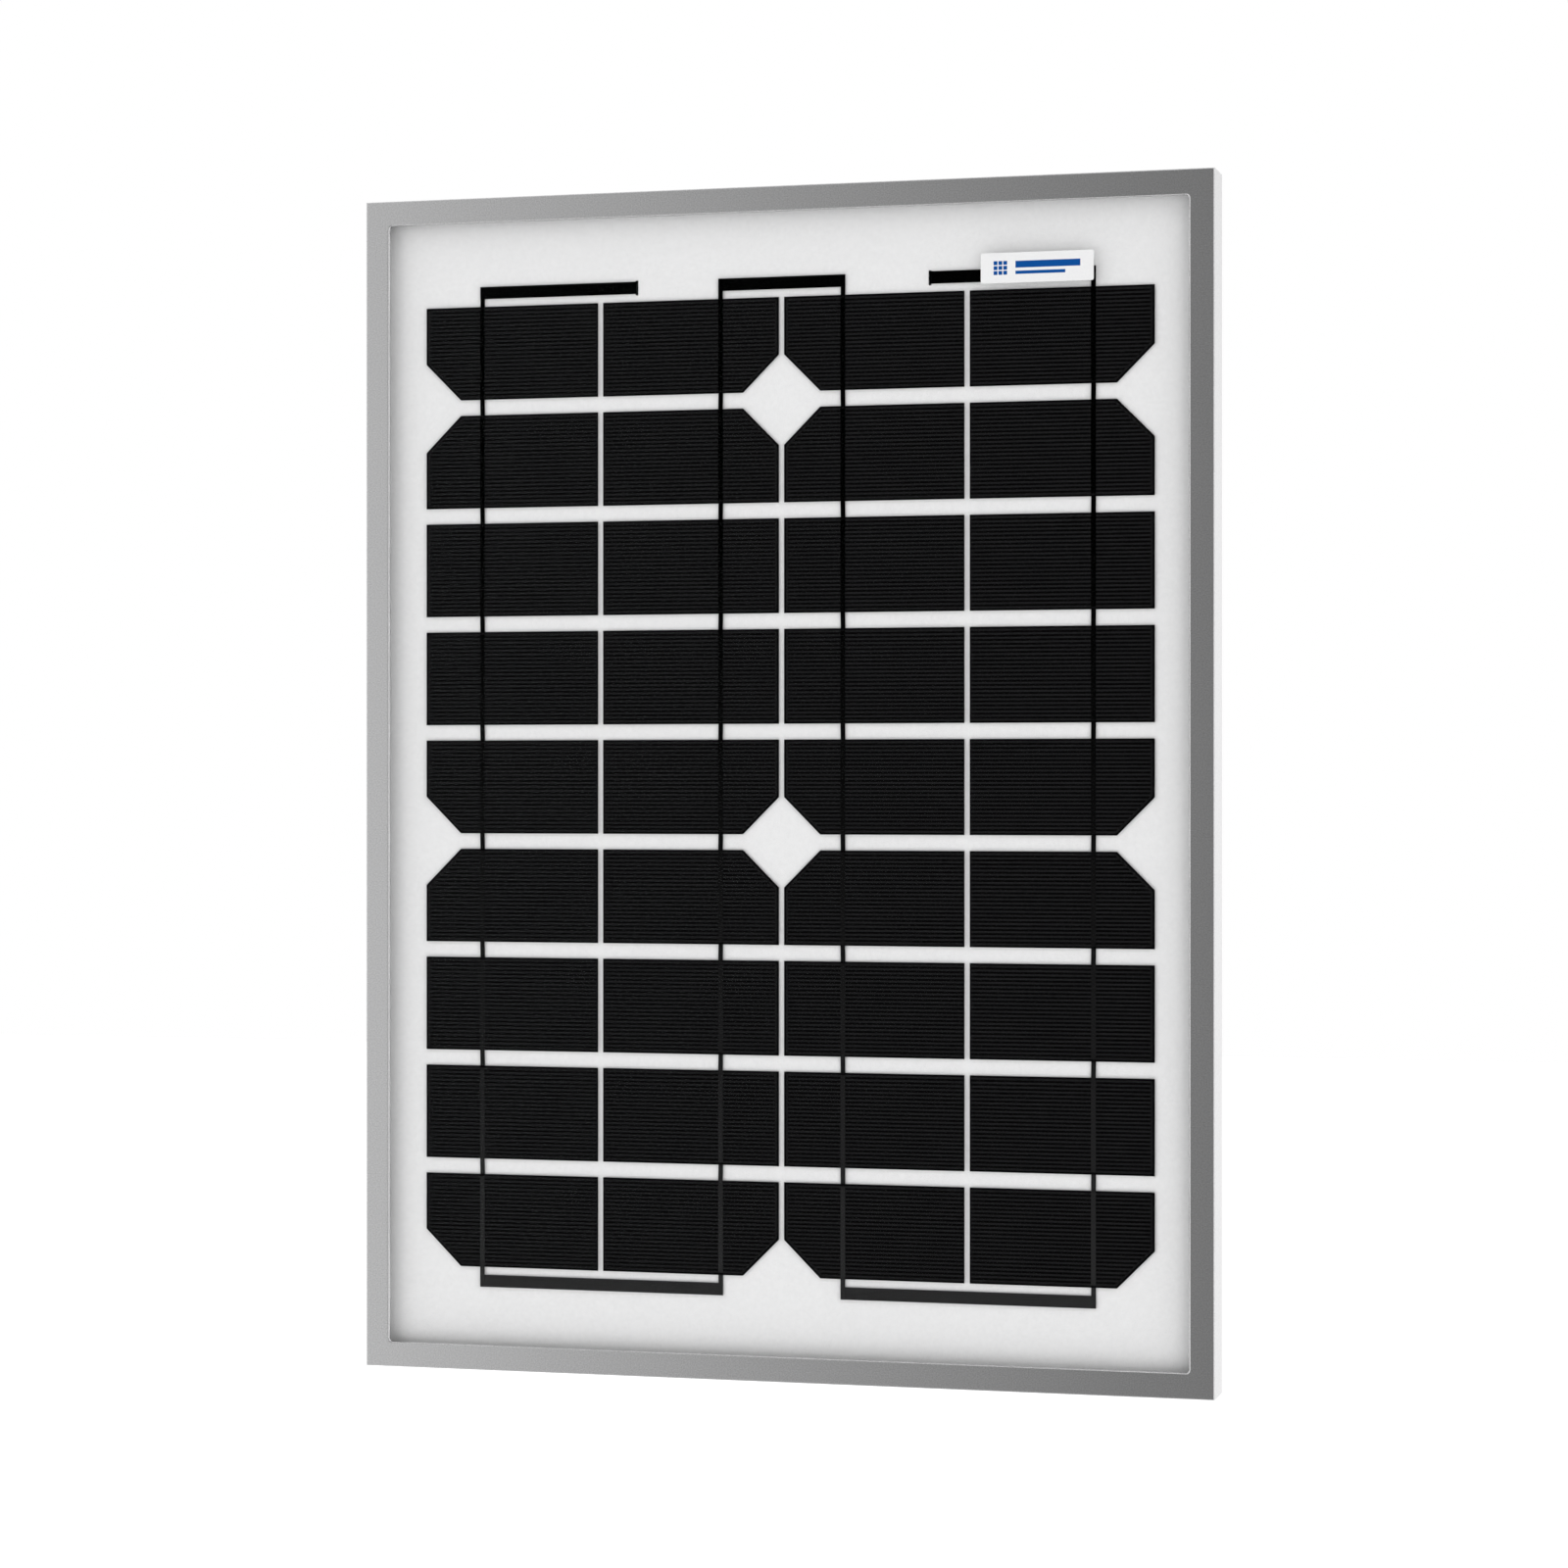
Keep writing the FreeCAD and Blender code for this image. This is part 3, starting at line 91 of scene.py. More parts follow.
def solid_from_grid(name, points, close_rings=True):
    """Closed surface from a grid of points (rings, around, 3).

    Point j of ring i joins its neighbours j + 1 and i + 1 by a quad. The way round always
    closes. The last ring joins the first, or else both are capped.
    """
    rings, around = points.shape[:2]
    ring = np.arange(rings if close_rings else rings - 1)
    step = np.arange(around)
    i, j = np.meshgrid(ring, step, indexing="ij")
    here = i * around + j
    beside = i * around + (j + 1) % around
    above = ((i + 1) % rings) * around + j
    above_beside = ((i + 1) % rings) * around + (j + 1) % around
    quads = np.stack([here, beside, above_beside, above], axis=-1).reshape(-1, 4)
    faces = quads.tolist()
    if not close_rings:
        faces.append(step[::-1].tolist())
        faces.append(((rings - 1) * around + step).tolist())
    return add_mesh(name, points.reshape(-1, 3), faces)


def add_mesh(name, vertices, faces):
    """A mesh object at the origin, with its faces turned outwards."""
    mesh = bpy.data.meshes.new(name)
    mesh.from_pydata(np.asarray(vertices, float).tolist(), [], faces)
    mesh.validate()
    piece = bpy.data.objects.new(name, mesh)
    bpy.context.scene.collection.objects.link(piece)
    turn_outwards(mesh)
    return piece


def turn_outwards(mesh):
    """Make all faces of closed shells point out of the material."""
    shell = bmesh.new()
    shell.from_mesh(mesh)
    bmesh.ops.recalc_face_normals(shell, faces=shell.faces)
    shell.to_mesh(mesh)
    shell.free()


def prisms(name, corners, front, back):
    """Many flat four-sided bars in one mesh.

    corners is (bars, 4, 2) in X and Z. Each bar is those four corners at depth front, the
    same four at depth back, and the six faces between them.
    """
    bars = len(corners)
    near = np.stack([corners[..., 0], np.full((bars, 4), front), corners[..., 1]], axis=-1)
    far = near.copy()
    far[..., 1] = back
    vertices = np.concatenate([near, far], axis=1).reshape(-1, 3)
    shape = np.array([[0, 1, 2, 3], [7, 6, 5, 4], [0, 4, 5, 1], [1, 5, 6, 2],
                      [2, 6, 7, 3], [3, 7, 4, 0]])
    faces = (np.arange(bars)[:, None, None] * 8 + shape).reshape(-1, 4)
    return add_mesh(name, vertices, faces.tolist())


def upright_bars(left, right, low, high):
    """Corners of upright rectangles, given as arrays of their four sides."""
    left, right, low, high = np.broadcast_arrays(left, right, low, high)
    across = np.stack([left, right, right, left], axis=-1)
    up = np.stack([low, low, high, high], axis=-1)
    return np.stack([across, up], axis=-1)


def rounded_outline(half_width, half_height, radius, inset, steps=8):
    """Rectangle with quarter-circle corners, drawn in by an inset, as (points, 2).

    Each corner's points are its centre plus (radius - inset) times cosine and sine of an
    angle that runs through a quarter turn.
    """
    angle = np.linspace(0, math.pi / 2, steps)
    reach = max(radius - inset, 1e-6)
    quarters = []
    for turn, (side, end) in enumerate(((1, 1), (-1, 1), (-1, -1), (1, -1))):
        bend = angle + turn * math.pi / 2
        across = side * (half_width - radius) + reach * np.cos(bend)
        up = end * (half_height - radius) + reach * np.sin(bend)
        quarters.append(np.stack([across, up], axis=-1))
    return np.concatenate(quarters)


def soft_plate(name, centre, size, front, back, radius, edge):
    """Flat plate with rounded corners and a small quarter-round along its front edge.

    The outline is carried from back to front. Over the edge it is drawn in by
    edge * (1 - cos t) while its depth nears the front by (1 - sin t), for t over 90 degrees.
    """
    bend = np.linspace(0, math.pi / 2, 4)
    rings = [(0.0, back)]
    depth = min(edge, (back - front) * 0.9)
    rings += [(edge * (1 - math.cos(t)), front + depth * (1 - math.sin(t))) for t in bend]
    points = []
    for inset, y in rings:
        flat = rounded_outline(size[0] / 2, size[1] / 2, radius, inset)
        across = centre[0] + flat[:, 0]
        up = centre[1] + flat[:, 1]
        points.append(np.stack([across, np.full(len(flat), y), up], axis=-1))
    return solid_from_grid(name, np.array(points), close_rings=False)


def rectangular_ring(name, outer, inner, front, back):
    """A square-section ring: a rectangular profile carried round a rectangular path."""
    loops = []
    for half, y in ((outer, front), (outer, back), (inner, back), (inner, front)):
        across = np.array([-1, 1, 1, -1]) * half[0]
        up = np.array([-1, -1, 1, 1]) * half[1]
        loops.append(np.stack([across, np.full(4, y), up], axis=-1))
    return solid_from_grid(name, np.array(loops))


# ---------------------------------------------------------------- materials

def start_material(name, **values):
    """A Principled material with the given socket values."""
    material = bpy.data.materials.new(name)
    material.use_nodes = True
    shader = material.node_tree.nodes["Principled BSDF"]
    for socket, value in values.items():
        label = socket.replace("_", " ")
        if isinstance(value, tuple):
            value = (*value, 1.0)
        shader.inputs[label].default_value = value
    return material


def add_node(material, kind, **settings):
    """A new node in the material's tree."""
    node = material.node_tree.nodes.new(kind)
    for name, value in settings.items():
        setattr(node, name, value)
    return node


def link(material, source, target):
    """Join two sockets."""
    material.node_tree.links.new(source, target)


def object_noise(material, scale, detail=2.0, roughness=0.5, stretch=None):
    """Noise over the object's own coordinates; scale is in cycles per metre."""
    place = add_node(material, "ShaderNodeTexCoord")
    source = place.outputs["Object"]
    if stretch:
        mapping = add_node(material, "ShaderNodeMapping")
        mapping.inputs["Scale"].default_value = stretch
        link(material, source, mapping.inputs["Vector"])
        source = mapping.outputs["Vector"]
    noise = add_node(material, "ShaderNodeTexNoise")
    noise.inputs["Scale"].default_value = scale
    noise.inputs["Detail"].default_value = detail
    noise.inputs["Roughness"].default_value = roughness
    link(material, source, noise.inputs["Vector"])
    return noise.outputs["Fac"]


def colour_ramp(material, factor, stops):
    """Colours along a factor; stops are (place, colour)."""
    ramp = add_node(material, "ShaderNodeValToRGB")
    elements = ramp.color_ramp.elements
    while len(elements) < len(stops):
        elements.new(0.5)
    for element, (place, colour) in zip(elements, stops):
        element.position = place
        element.color = (*colour, 1.0)
    link(material, factor, ramp.inputs["Fac"])
    return ramp.outputs["Color"]


def value_range(material, factor, low, high):
    """Stretch a 0 to 1 factor to a range."""
    spread = add_node(material, "ShaderNodeMapRange")
    spread.inputs["To Min"].default_value = low
    spread.inputs["To Max"].default_value = high
    link(material, factor, spread.inputs["Value"])
    return spread.outputs["Result"]


def add_bump(material, factor, strength, depth):
    """Small relief from a factor; depth in metres."""
    bump = add_node(material, "ShaderNodeBump")
    bump.inputs["Strength"].default_value = strength
    bump.inputs["Distance"].default_value = depth
    link(material, factor, bump.inputs["Height"])
    link(material, bump.outputs["Normal"], shader_of(material).inputs["Normal"])


def shader_of(material):
    """The material's Principled node."""
    return material.node_tree.nodes["Principled BSDF"]


def grained(name, low_colour, high_colour, scale, rough, relief, stretch=None, **values):
    """A material whose colour, roughness and relief follow one fine noise."""
    material = start_material(name, **values)
    fine = object_noise(material, scale, 3.0, 0.6, stretch)
    shader = shader_of(material)
    colour = colour_ramp(material, fine, [(0.3, low_colour), (0.7, high_colour)])
    link(material, colour, shader.inputs["Base Color"])
    link(material, value_range(material, fine, *rough), shader.inputs["Roughness"])
    if relief:
        add_bump(material, fine, relief[0], relief[1])
    return material


def glass_pane():
    """Clear pane that shows what is behind it and mirrors a little, with faint wipe marks."""
    material = start_material("clear_front_glass", Base_Color=(0.06, 0.066, 0.063),
                              Metallic=1.0, Alpha=0.02)
    wiped = object_noise(material, 30, 3.0, 0.55, stretch=(1.0, 1.0, 0.35))
    link(material, value_range(material, wiped, 0.02, 0.05), shader_of(material).inputs["Roughness"])
    return material


def ribbon_with_painted_reflection():
    """Black coating on copper, with a painted reflection that makes it greyer towards the lower end
    of the strings.
    """
    material = start_material("black_ribbon_painted_reflection", Specular_IOR_Level=0.0)
    shader = shader_of(material)
    place = add_node(material, "ShaderNodeTexCoord")
    split = add_node(material, "ShaderNodeSeparateXYZ")
    link(material, place.outputs["Object"], split.inputs["Vector"])
    height = add_node(material, "ShaderNodeMapRange")
    height.inputs["From Min"].default_value = GREY_PAINTED_REFLECTION_END
    height.inputs["From Max"].default_value = BLACK_END
    link(material, split.outputs["Z"], height.inputs["Value"])
    # Painted reflection: the base colour turns grey towards the bottom of the ribbons and bus bars.
    painted_reflection_colour = colour_ramp(material, height.outputs["Result"],
                       [(0.0, (0.0250, 0.0250, 0.0253)), (0.33, (0.0115, 0.0115, 0.0117)),
                        (0.66, (0.0032, 0.0032, 0.0033)), (1.0, (0.0004, 0.0004, 0.0004))])
    link(material, painted_reflection_colour, shader.inputs["Base Color"])
    fine = object_noise(material, 1200, 3.0, 0.6)
    link(material, value_range(material, fine, 0.30, 0.42), shader.inputs["Roughness"])
    add_bump(material, fine, 0.1, 0.00002)
    return material


anodised = grained("silver_anodised", (0.48, 0.48, 0.484), (0.70, 0.70, 0.704), 1900,
                   (0.26, 0.38), (0.25, 0.00003), Metallic=1.0)
cell_black = grained("dark_silicon", (0.0020, 0.0020, 0.0022), (0.0032, 0.0032, 0.0035), 900,
                     (0.45, 0.6), None, Specular_IOR_Level=0.0)
finger_print = grained("fired_finger_print", (0.0108, 0.0108, 0.0113), (0.0144, 0.0144, 0.0149),
                       2500, (0.45, 0.6), None, Specular_IOR_Level=0.0)
black_ribbon = ribbon_with_painted_reflection()
white_sheet = grained("white_backsheet", (0.845, 0.845, 0.848), (0.89, 0.89, 0.893), 700,
                      (0.5, 0.65), (0.08, 0.00003), Specular_IOR_Level=0.05)
label_white = grained("white_label_film", (0.83, 0.83, 0.835), (0.87, 0.87, 0.875), 1800,
                      (0.4, 0.5), (0.05, 0.00001))
label_blue = grained("blue_label_ink", (0.0, 0.060, 0.27), (0.001, 0.080, 0.33), 3000,
                     (0.4, 0.5), None, Specular_IOR_Level=0.1)
label_silver = grained("silver_label_film", (0.50, 0.51, 0.52), (0.60, 0.61, 0.62), 2500,
                       (0.35, 0.45), (0.05, 0.00001), Metallic=0.6)
label_ink = grained("dark_label_ink", (0.02, 0.02, 0.022), (0.035, 0.035, 0.04), 3000,
                    (0.45, 0.55), None)
box_black = grained("moulded_black", (0.010, 0.010, 0.011), (0.024, 0.024, 0.025), 1500,
                    (0.30, 0.50), (0.5, 0.00008))
nut_black = grained("moulded_nylon", (0.012, 0.012, 0.013), (0.02, 0.02, 0.021), 2200,
                    (0.35, 0.5), (0.2, 0.00004))
rubber_black = grained("soft_black_rubber", (0.02, 0.02, 0.021), (0.04, 0.04, 0.042), 1800,
                       (0.7, 0.85), (0.2, 0.00005))
silicone = grained("white_silicone", (0.66, 0.67, 0.68), (0.76, 0.77, 0.78), 500,
                   (0.35, 0.5), (0.2, 0.0001))
tinned = grained("bright_tin", (0.60, 0.59, 0.56), (0.78, 0.77, 0.74), 1500,
                 (0.2, 0.34), (0.15, 0.00003), Metallic=1.0)
brass = grained("stamped_brass", (0.60, 0.42, 0.16), (0.80, 0.60, 0.28), 1200,
                (0.25, 0.4), (0.15, 0.00003), Metallic=1.0)
plated = grained("bright_zinc", (0.50, 0.51, 0.53), (0.68, 0.69, 0.70), 1700,
                 (0.22, 0.36), (0.15, 0.00003), Metallic=1.0)
pin_steel = grained("drawn_stainless", (0.45, 0.45, 0.46), (0.62, 0.62, 0.63), 900,
                    (0.2, 0.35), (0.1, 0.00002), stretch=(0.1, 1.0, 1.0), Metallic=1.0)
solder = grained("bright_solder", (0.55, 0.56, 0.57), (0.72, 0.73, 0.74), 1100,
                 (0.18, 0.32), (0.3, 0.00006), Metallic=1.0)
epoxy = grained("diode_epoxy", (0.012, 0.012, 0.012), (0.022, 0.022, 0.022), 2400,
                (0.4, 0.55), (0.2, 0.00004))
mill_key = grained("mill_aluminium", (0.55, 0.56, 0.57), (0.72, 0.73, 0.74), 1300,
                   (0.3, 0.45), (0.15, 0.00004), Metallic=1.0)
pane = glass_pane()


def dress(node, material):
    """Give a CAD node its material."""
    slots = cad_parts[node].material_slots
    for slot in slots:
        slot.material = material


NODE_LOOKS = {
    anodised: ["frame_top", "frame_bottom", "frame_left", "frame_right"],
    mill_key: ["corner_key_top_right", "corner_key_bottom_right", "corner_key_bottom_left",
               "corner_key_top_left"],
    rubber_black: ["edge_seal", "lid_seal", "gland_grommet_left", "gland_grommet_right"],
    pane: ["glass"],
    white_sheet: ["backsheet"],
    cell_black: [f"string_{number}_cells" for number in range(1, COLUMNS + 1)],
    black_ribbon: [f"string_{number}_ribbons" for number in range(1, COLUMNS + 1)]
    + ["bus_bar_top_left", "bus_bar_top_middle", "bus_bar_top_right",
       "bus_bar_bottom_left", "bus_bar_bottom_right"],
    tinned: ["lead_out_left", "lead_out_right", "diode_leads"],
    box_black: ["junction_box_base", "junction_box_lid"],
    silicone: ["junction_box_adhesive"],
    pin_steel: ["hinge_pin"],
    plated: ["clamp_washers", "terminal_screws"],
    epoxy: ["bypass_diode"],
    solder: ["solder_joints"],
    brass: ["terminal_left", "terminal_right"],
}
for material, nodes in NODE_LOOKS.items():
    for node in nodes:
        dress(node, material)


def finish_piece(piece, material, body="panel"):
    """Give a new piece its material and the body that it rides on."""
    piece.data.materials.append(material)
    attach(piece, body)
    return piece


# ---------------------------------------------------------------- clear films

def film_edge(node):
    """Edge of a clear film, which can't be seen over the cells: a ring as deep as the film."""
    low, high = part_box(node)
    outer = (high.x, high.z)
    inner = (high.x - FILM_EDGE_WIDTH, high.z - FILM_EDGE_WIDTH)
    ring = rectangular_ring(node + "_edge", outer, inner, low.y, high.y)
    finish_piece(ring, silicone)
    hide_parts(node)


film_edge("encapsulant_front")
film_edge("encapsulant_rear")


# ---------------------------------------------------------------- printed fingers

def cut_corner_end(row):
    """End of a row's cells with the wafer's cut-off corner: 1 top, -1 bottom, 0 none."""
    return {0: -1, 1: 1}.get(row % 4, 0)


def cell_print(column):
    """Fingers across every cell of a column, and the collector line along its wafer edge.

    A finger runs from the cell's cut edge to the collector line. Near a cut-off corner
    the line follows the 45 degree cut, and each finger there stops on it.
    """
    low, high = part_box(f"string_{column + 1}_cells")
    side = -1 if column % 2 == 0 else 1
    outer = low.x if side < 0 else high.x
    inner = high.x if side < 0 else low.x
    pitch = (high.z - low.z - CELL_HEIGHT) / (ROWS - 1)
    spread = (np.arange(FINGERS_PER_CELL) - (FINGERS_PER_CELL - 1) / 2) * FINGER_PITCH
    slant = PRINT_INSET * (math.sqrt(2) - 1)
    bars = []
    for row in range(ROWS):
        middle = high.z - CELL_HEIGHT / 2 - row * pitch
        end = cut_corner_end(row)
        reach = np.full(FINGERS_PER_CELL, PRINT_INSET)
        if end:
            over = end * spread - (CELL_HEIGHT / 2 - WAFER_CHAMFER)
            reach = np.maximum(reach, over + slant + PRINT_INSET)
        stop = outer - side * reach
        left = np.minimum(stop, inner)
        right = np.maximum(stop, inner)
        half = FINGER_WIDTH / 2
        bars.append(upright_bars(left, right, middle + spread - half, middle + spread + half))
        bars.append(collector_bars(outer, side, middle, end, spread, slant))
    piece = prisms(f"finger_print_{column + 1}", np.concatenate(bars),
                   low.y - FINGER_THICK, low.y)
    return finish_piece(piece, finger_print)


def collector_bars(outer, side, middle, end, spread, slant):
    """Straight line inside the wafer's edge, and the slanted one inside a cut-off corner.

    The slanted one runs at 45 degrees from the knee, where the cut starts, to the last finger.
    """
    half = COLLECTOR_WIDTH / 2
    line = outer - side * PRINT_INSET
    tip = spread[-1] + FINGER_WIDTH / 2
    if end == 0:
        return upright_bars(np.array([line - half]), np.array([line + half]),
                            np.array([middle - tip]), np.array([middle + tip]))
    knee = CELL_HEIGHT / 2 - WAFER_CHAMFER - slant
    straight = [[line - half, middle - end * tip], [line + half, middle - end * tip],
                [line + half, middle + end * knee], [line - half, middle + end * knee]]
    thick = half * math.sqrt(2)
    top_reach = tip - knee
    sloped = [[line - side * top_reach, middle + end * (tip - thick)],
              [line - side * top_reach, middle + end * (tip + thick)],
              [line, middle + end * (knee + thick)],
              [line, middle + end * (knee - thick)]]
    return np.array([straight, sloped])


for column in range(COLUMNS):
    cell_print(column)


# ---------------------------------------------------------------- labels

def front_label():
    """White film with a small picture of nine cells and two plain bars.

    Square (i, j) of the picture stands i steps across and j - 1 steps up from its middle.
    """
    low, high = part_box("front_label")
    centre = ((low.x + high.x) / 2, (low.z + high.z) / 2)
    size = (high.x - low.x, high.z - low.z)
    film = soft_plate("front_label_film", centre, size, low.y, high.y, 0.8 * MM,
                      LABEL_EDGE_ROUND)
    finish_piece(film, label_white)
    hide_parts("front_label")

    square = 1.55 * MM
    step = 1.95 * MM
    picture_left = low.x + 5.2 * MM
    column, row = np.meshgrid(np.arange(3), np.arange(3), indexing="ij")
    left = picture_left + column.ravel() * step
    base = centre[1] + (row.ravel() - 1) * step - square / 2
    picture = upright_bars(left, left + square, base, base + square)

    bar_left = low.x + 14.0 * MM
    bar_lengths = np.array([26, 20]) * MM
    bar_bottoms = centre[1] + np.array([-0.1, -2.6]) * MM
    bar_tops = centre[1] + np.array([2.6, -1.3]) * MM
    bars = upright_bars(bar_left, bar_left + bar_lengths, bar_bottoms, bar_tops)
    ink = prisms("front_label_ink", np.concatenate([picture, bars]), low.y - INK_THICK, low.y)
    finish_piece(ink, label_blue)


def rating_label():
    """Silver film with a ruled table of plain bars, read from behind the panel.

    Rule k is k pitches above the lowest one. Between two rules lie an entry and its value,
    whose lengths go up and down by the remainder of the line's number.
    """
    low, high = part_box("rating_label")
    centre = ((low.x + high.x) / 2, (low.z + high.z) / 2)
    width, height = high.x - low.x, high.z - low.z
    film = soft_plate("rating_label_film", centre, (width, height), low.y, high.y,
                      2 * MM, LABEL_EDGE_ROUND)
    finish_piece(film, label_silver)
    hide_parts("rating_label")

    margin = 5 * MM
    lines = 9
    pitch = (height - 2 * margin) / lines
    rule = low.z + margin + np.arange(lines + 1) * pitch
    half_rule = 0.15 * MM
    rules = upright_bars(low.x + margin, high.x - margin, rule - half_rule, rule + half_rule)

    number = np.arange(lines)
    level = rule[:-1] + pitch / 2
    half_bar = 0.9 * MM
    entry_start = high.x - margin - 3 * MM
    entry_length = (18 + 9 * np.mod(number * 5, 4) / 3) * MM
    entry = upright_bars(entry_start - entry_length, entry_start,
                         level - half_bar, level + half_bar)
    value_start = centre[0] - 6 * MM
    value_length = (9 + 6 * np.mod(number * 3, 5) / 4) * MM
    value = upright_bars(value_start - value_length, value_start,
                         level - half_bar, level + half_bar)
    ink = prisms("rating_label_ink", np.concatenate([rules, entry, value]),
                 high.y, high.y + INK_THICK)
    finish_piece(ink, label_ink)


front_label()
rating_label()


# ---------------------------------------------------------------- gland nuts

def gland_nut(node):
    """Six-sided nut with a groove and a domed end, over its bore.

    A profile of height and widest radius is carried round the nut's axis. The radius is the
    profile's or that of a hexagon, flat / cos(angle from the nearest flat), whichever is less.
    Down the dome the height falls by sin t and the radius shrinks by 1 - cos t.
    """
    low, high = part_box(node)
    corner = (high.x - low.x) / 2
    flat = corner * math.sqrt(0.75)
    top, bottom = high.z, low.z
    spout, mouth = 4.1 * MM, 2.9 * MM
    waist = top - 6.9 * MM
    groove = 0.35 * MM
    groove_radius = flat - 0.7 * MM
    spout_floor = top - 7.7 * MM

    grip = [(top, spout), (top, flat - 0.1 * MM), (top - 0.25 * MM, flat + 0.35 * MM),
            (top - 0.7 * MM, corner), (waist, corner)]
    ring = [(waist, groove_radius), (waist - groove, groove_radius)]
    bend = np.linspace(0, math.pi / 2, 9)
    fall = waist - groove - bottom
    dome = np.column_stack([bottom + fall * (1 - np.sin(bend)),
                            flat - 0.25 * MM - 1.5 * MM * (1 - np.cos(bend))])
    bore = [(bottom, mouth + 0.2 * MM), (bottom + 1.0 * MM, mouth), (spout_floor, mouth),
            (spout_floor, spout), (top - 4.0 * MM, spout)]
    profile = np.concatenate([grip, ring, dome, bore])

    height, limit = profile[:, :1], profile[:, 1:]
    angle = np.linspace(0, 2 * math.pi, 120, endpoint=False)[None, :]
    from_flat = np.mod(angle, math.pi / 3) - math.pi / 6
    radius = np.minimum(limit, flat / np.cos(from_flat))
    across = (low.x + high.x) / 2 + radius * np.cos(angle)
    depth = (low.y + high.y) / 2 + radius * np.sin(angle)
    up = np.broadcast_to(height, across.shape)
    nut = solid_from_grid(node + "_nut", np.stack([across, depth, up], axis=-1))
    finish_piece(nut, nut_black)
    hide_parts(node)


gland_nut("gland_nut_left")
gland_nut("gland_nut_right")


# ---------------------------------------------------------------- stage, light and camera

# Brightness of the studio by direction, from -1 at the left to 1 at the right: ahead of the
# panel, then behind it. Far up or down it is even, and ahead it dims a little upwards.
LIGHT_SCALE = 3.0
SIDE_LIGHT = [(-1.0, 1.25), (-0.60, 1.34), (-0.42, 1.33), (-0.33, 0.83), (-0.25, 0.28),
              (-0.16, 0.09), (0.02, 0.03), (0.27, 0.10), (0.48, 1.50), (1.0, 1.72)]
BACK_LIGHT = [(-1.0, 0.85), (-0.45, 0.38), (-0.10, 0.75), (0.06, 1.50), (0.24, 1.55),
              (0.45, 0.70), (1.0, 1.30)]
OVERHEAD_LIGHT = 1.0
UPPER_DIMMING = 0.20

FLOOR_DROP = 0.30
FLOOR_REACH = 6.0

CAMERA_PLACE = (0.3966, -1.4979, 0.0)
CAMERA_TURN = math.radians(14.93)
LENS = 87.6


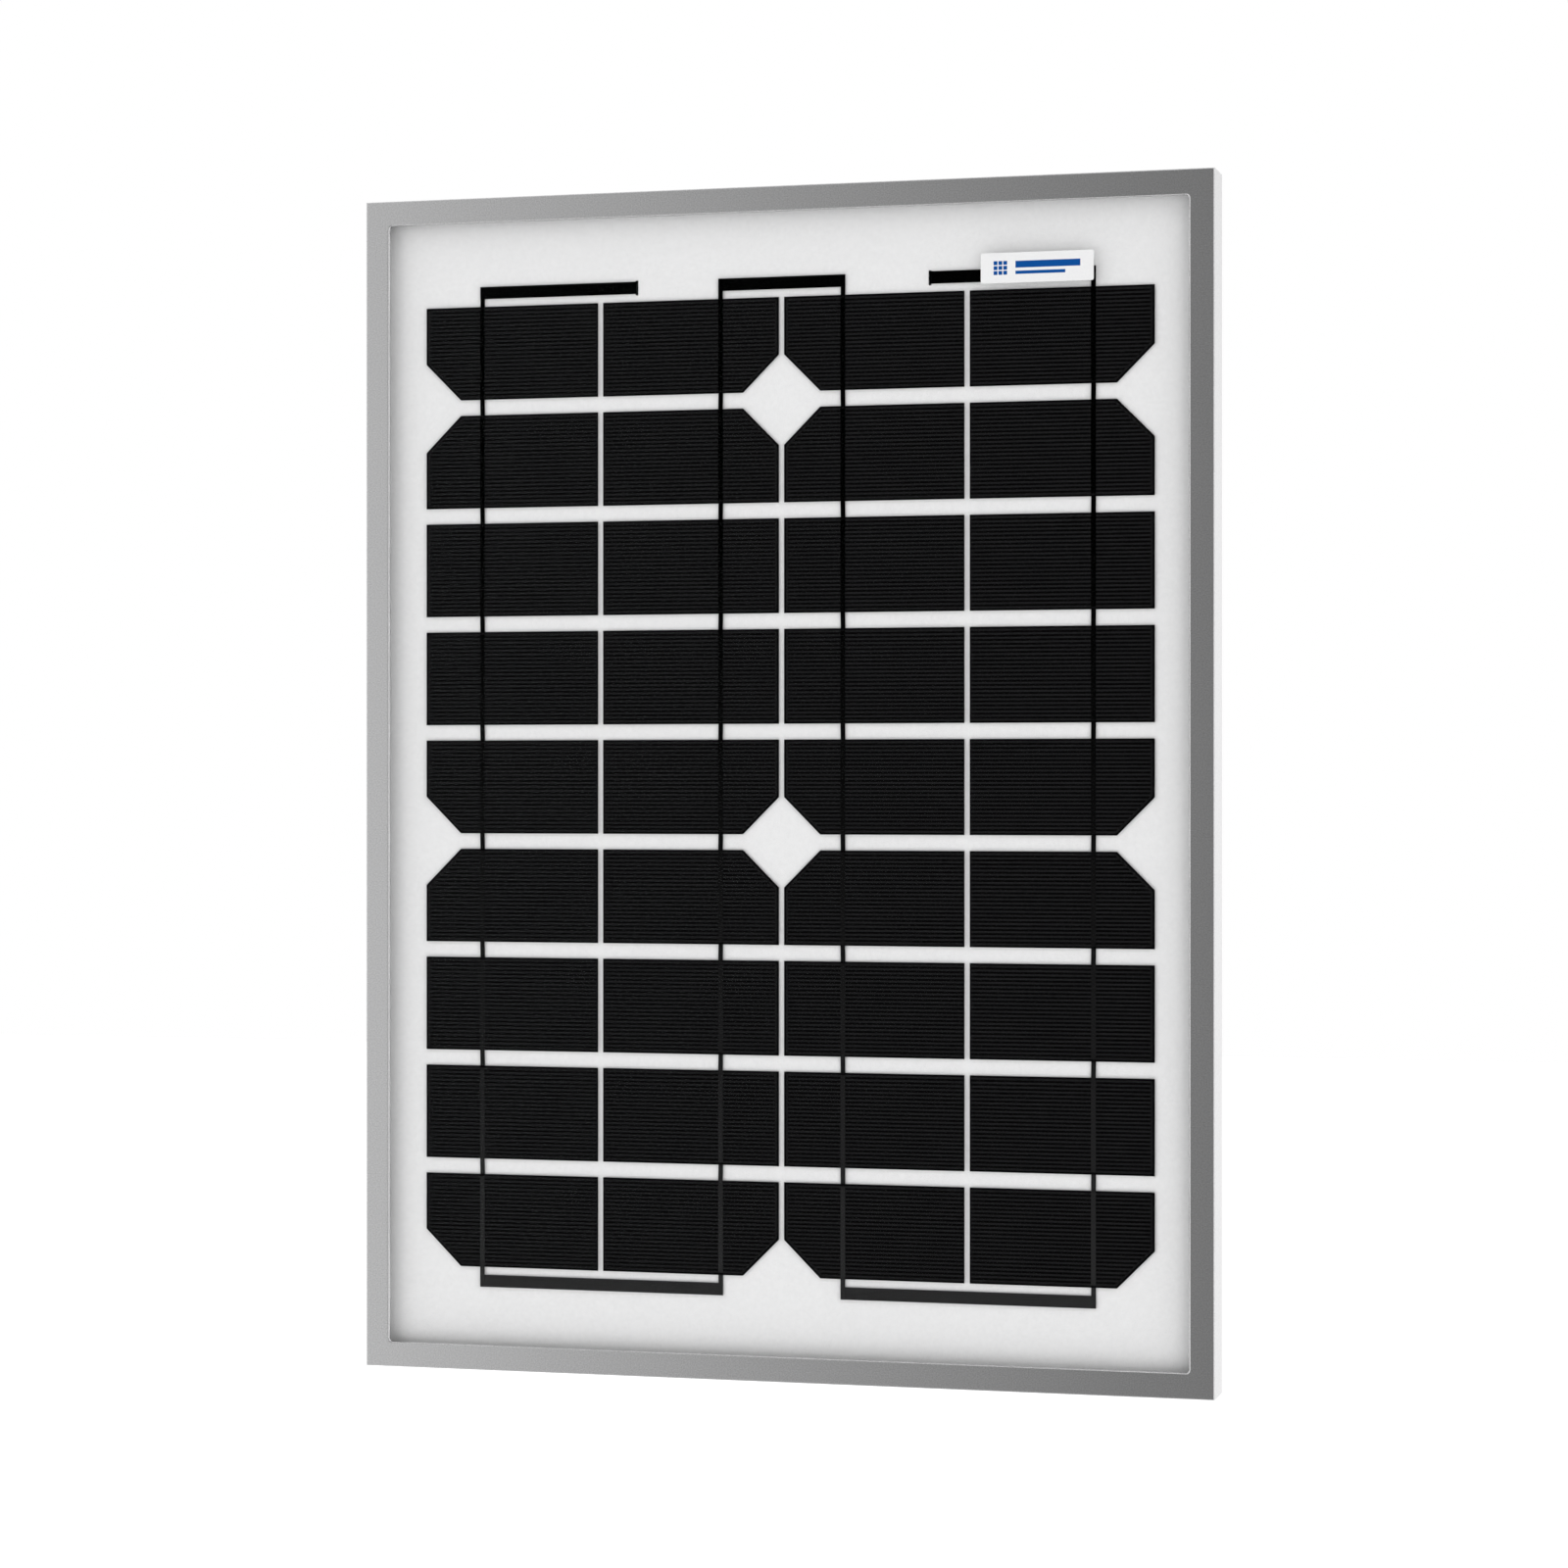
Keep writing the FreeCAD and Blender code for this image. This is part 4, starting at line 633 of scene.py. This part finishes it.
def studio_world():
    """Soft studio light from all round, and plain white where the camera looks past the panel."""
    world = bpy.data.worlds.new("studio")
    bpy.context.scene.world = world
    world.use_nodes = True
    tree = world.node_tree
    tree.nodes.clear()

    def node(kind, **settings):
        made = tree.nodes.new(kind)
        for name, value in settings.items():
            setattr(made, name, value)
        return made

    def brightness(axis, stops):
        spread = node("ShaderNodeMapRange")
        spread.inputs["From Min"].default_value = -1.0
        tree.links.new(axis, spread.inputs["Value"])
        ramp = node("ShaderNodeValToRGB")
        elements = ramp.color_ramp.elements
        while len(elements) < len(stops):
            elements.new(0.5)
        for element, (direction, strength) in zip(elements, stops):
            grey = strength / LIGHT_SCALE
            element.position = (direction + 1) / 2
            element.color = (grey, grey, grey, 1.0)
        tree.links.new(spread.outputs["Result"], ramp.inputs["Fac"])
        return ramp.outputs["Color"]

    def blend(factor, first, second):
        mix = node("ShaderNodeMix", data_type="RGBA")
        tree.links.new(factor, mix.inputs[0])
        tree.links.new(first, mix.inputs[6])
        if isinstance(second, float):
            mix.inputs[7].default_value = (second, second, second, 1.0)
        else:
            tree.links.new(second, mix.inputs[7])
        return mix.outputs[2]

    def rise(value, start, end, most=1.0):
        step = node("ShaderNodeMapRange", interpolation_type="SMOOTHSTEP")
        step.inputs["To Max"].default_value = most
        step.inputs["From Min"].default_value = start
        step.inputs["From Max"].default_value = end
        tree.links.new(value, step.inputs["Value"])
        return step.outputs["Result"]

    place = node("ShaderNodeTexCoord")
    split = node("ShaderNodeSeparateXYZ")
    tree.links.new(place.outputs["Generated"], split.inputs["Vector"])
    height = node("ShaderNodeMath", operation="ABSOLUTE")
    tree.links.new(split.outputs["Z"], height.inputs[0])
    ahead = brightness(split.outputs["X"], SIDE_LIGHT)
    behind = brightness(split.outputs["X"], BACK_LIGHT)
    around = blend(rise(split.outputs["Y"], -0.12, 0.30), ahead, behind)
    around = blend(rise(split.outputs["Z"], 0.04, 0.26, UPPER_DIMMING), around, 0.0)
    overhead = rise(height.outputs["Value"], 0.52, 0.82)
    around = blend(overhead, around, OVERHEAD_LIGHT / LIGHT_SCALE)
    lamp = node("ShaderNodeBackground")
    lamp.inputs["Strength"].default_value = LIGHT_SCALE
    tree.links.new(around, lamp.inputs["Color"])
    white = node("ShaderNodeBackground")
    white.inputs["Color"].default_value = (1, 1, 1, 1)
    eye = node("ShaderNodeLightPath")
    choose = node("ShaderNodeMixShader")
    tree.links.new(eye.outputs["Is Camera Ray"], choose.inputs[0])
    tree.links.new(lamp.outputs["Background"], choose.inputs[1])
    tree.links.new(white.outputs["Background"], choose.inputs[2])
    output = node("ShaderNodeOutputWorld")
    tree.links.new(choose.outputs["Shader"], output.inputs["Surface"])


def pale_floor():
    """Wide white floor, well below the panel."""
    level = cad_box[0][2] - FLOOR_DROP
    corners = np.array([[-1, -1], [1, -1], [1, 1], [-1, 1]]) * FLOOR_REACH
    vertices = np.column_stack([corners, np.full(4, level)])
    mesh = bpy.data.meshes.new("pale_floor")
    mesh.from_pydata(vertices.tolist(), [], [[0, 1, 2, 3]])
    floor = bpy.data.objects.new("pale_floor", mesh)
    bpy.context.scene.collection.objects.link(floor)
    paint = start_material("pale_floor", Base_Color=(0.9, 0.9, 0.9), Roughness=0.9,
                           Emission_Color=(1.0, 1.0, 1.0), Emission_Strength=0.45)
    mesh.materials.append(paint)
    floor.visible_glossy = False


def studio_camera():
    """Long lens, level with the panel's middle and 15 degrees to its right."""
    data = bpy.data.cameras.new("camera")
    data.lens = LENS
    data.sensor_width = 36.0
    data.clip_start = 0.05
    data.clip_end = 60.0
    camera = bpy.data.objects.new("camera", data)
    camera.location = CAMERA_PLACE
    camera.rotation_euler = (math.radians(90), 0.0, CAMERA_TURN)
    bpy.context.scene.collection.objects.link(camera)
    bpy.context.scene.camera = camera


studio_world()
pale_floor()
studio_camera()
bpy.context.scene.view_settings.view_transform = "Standard"
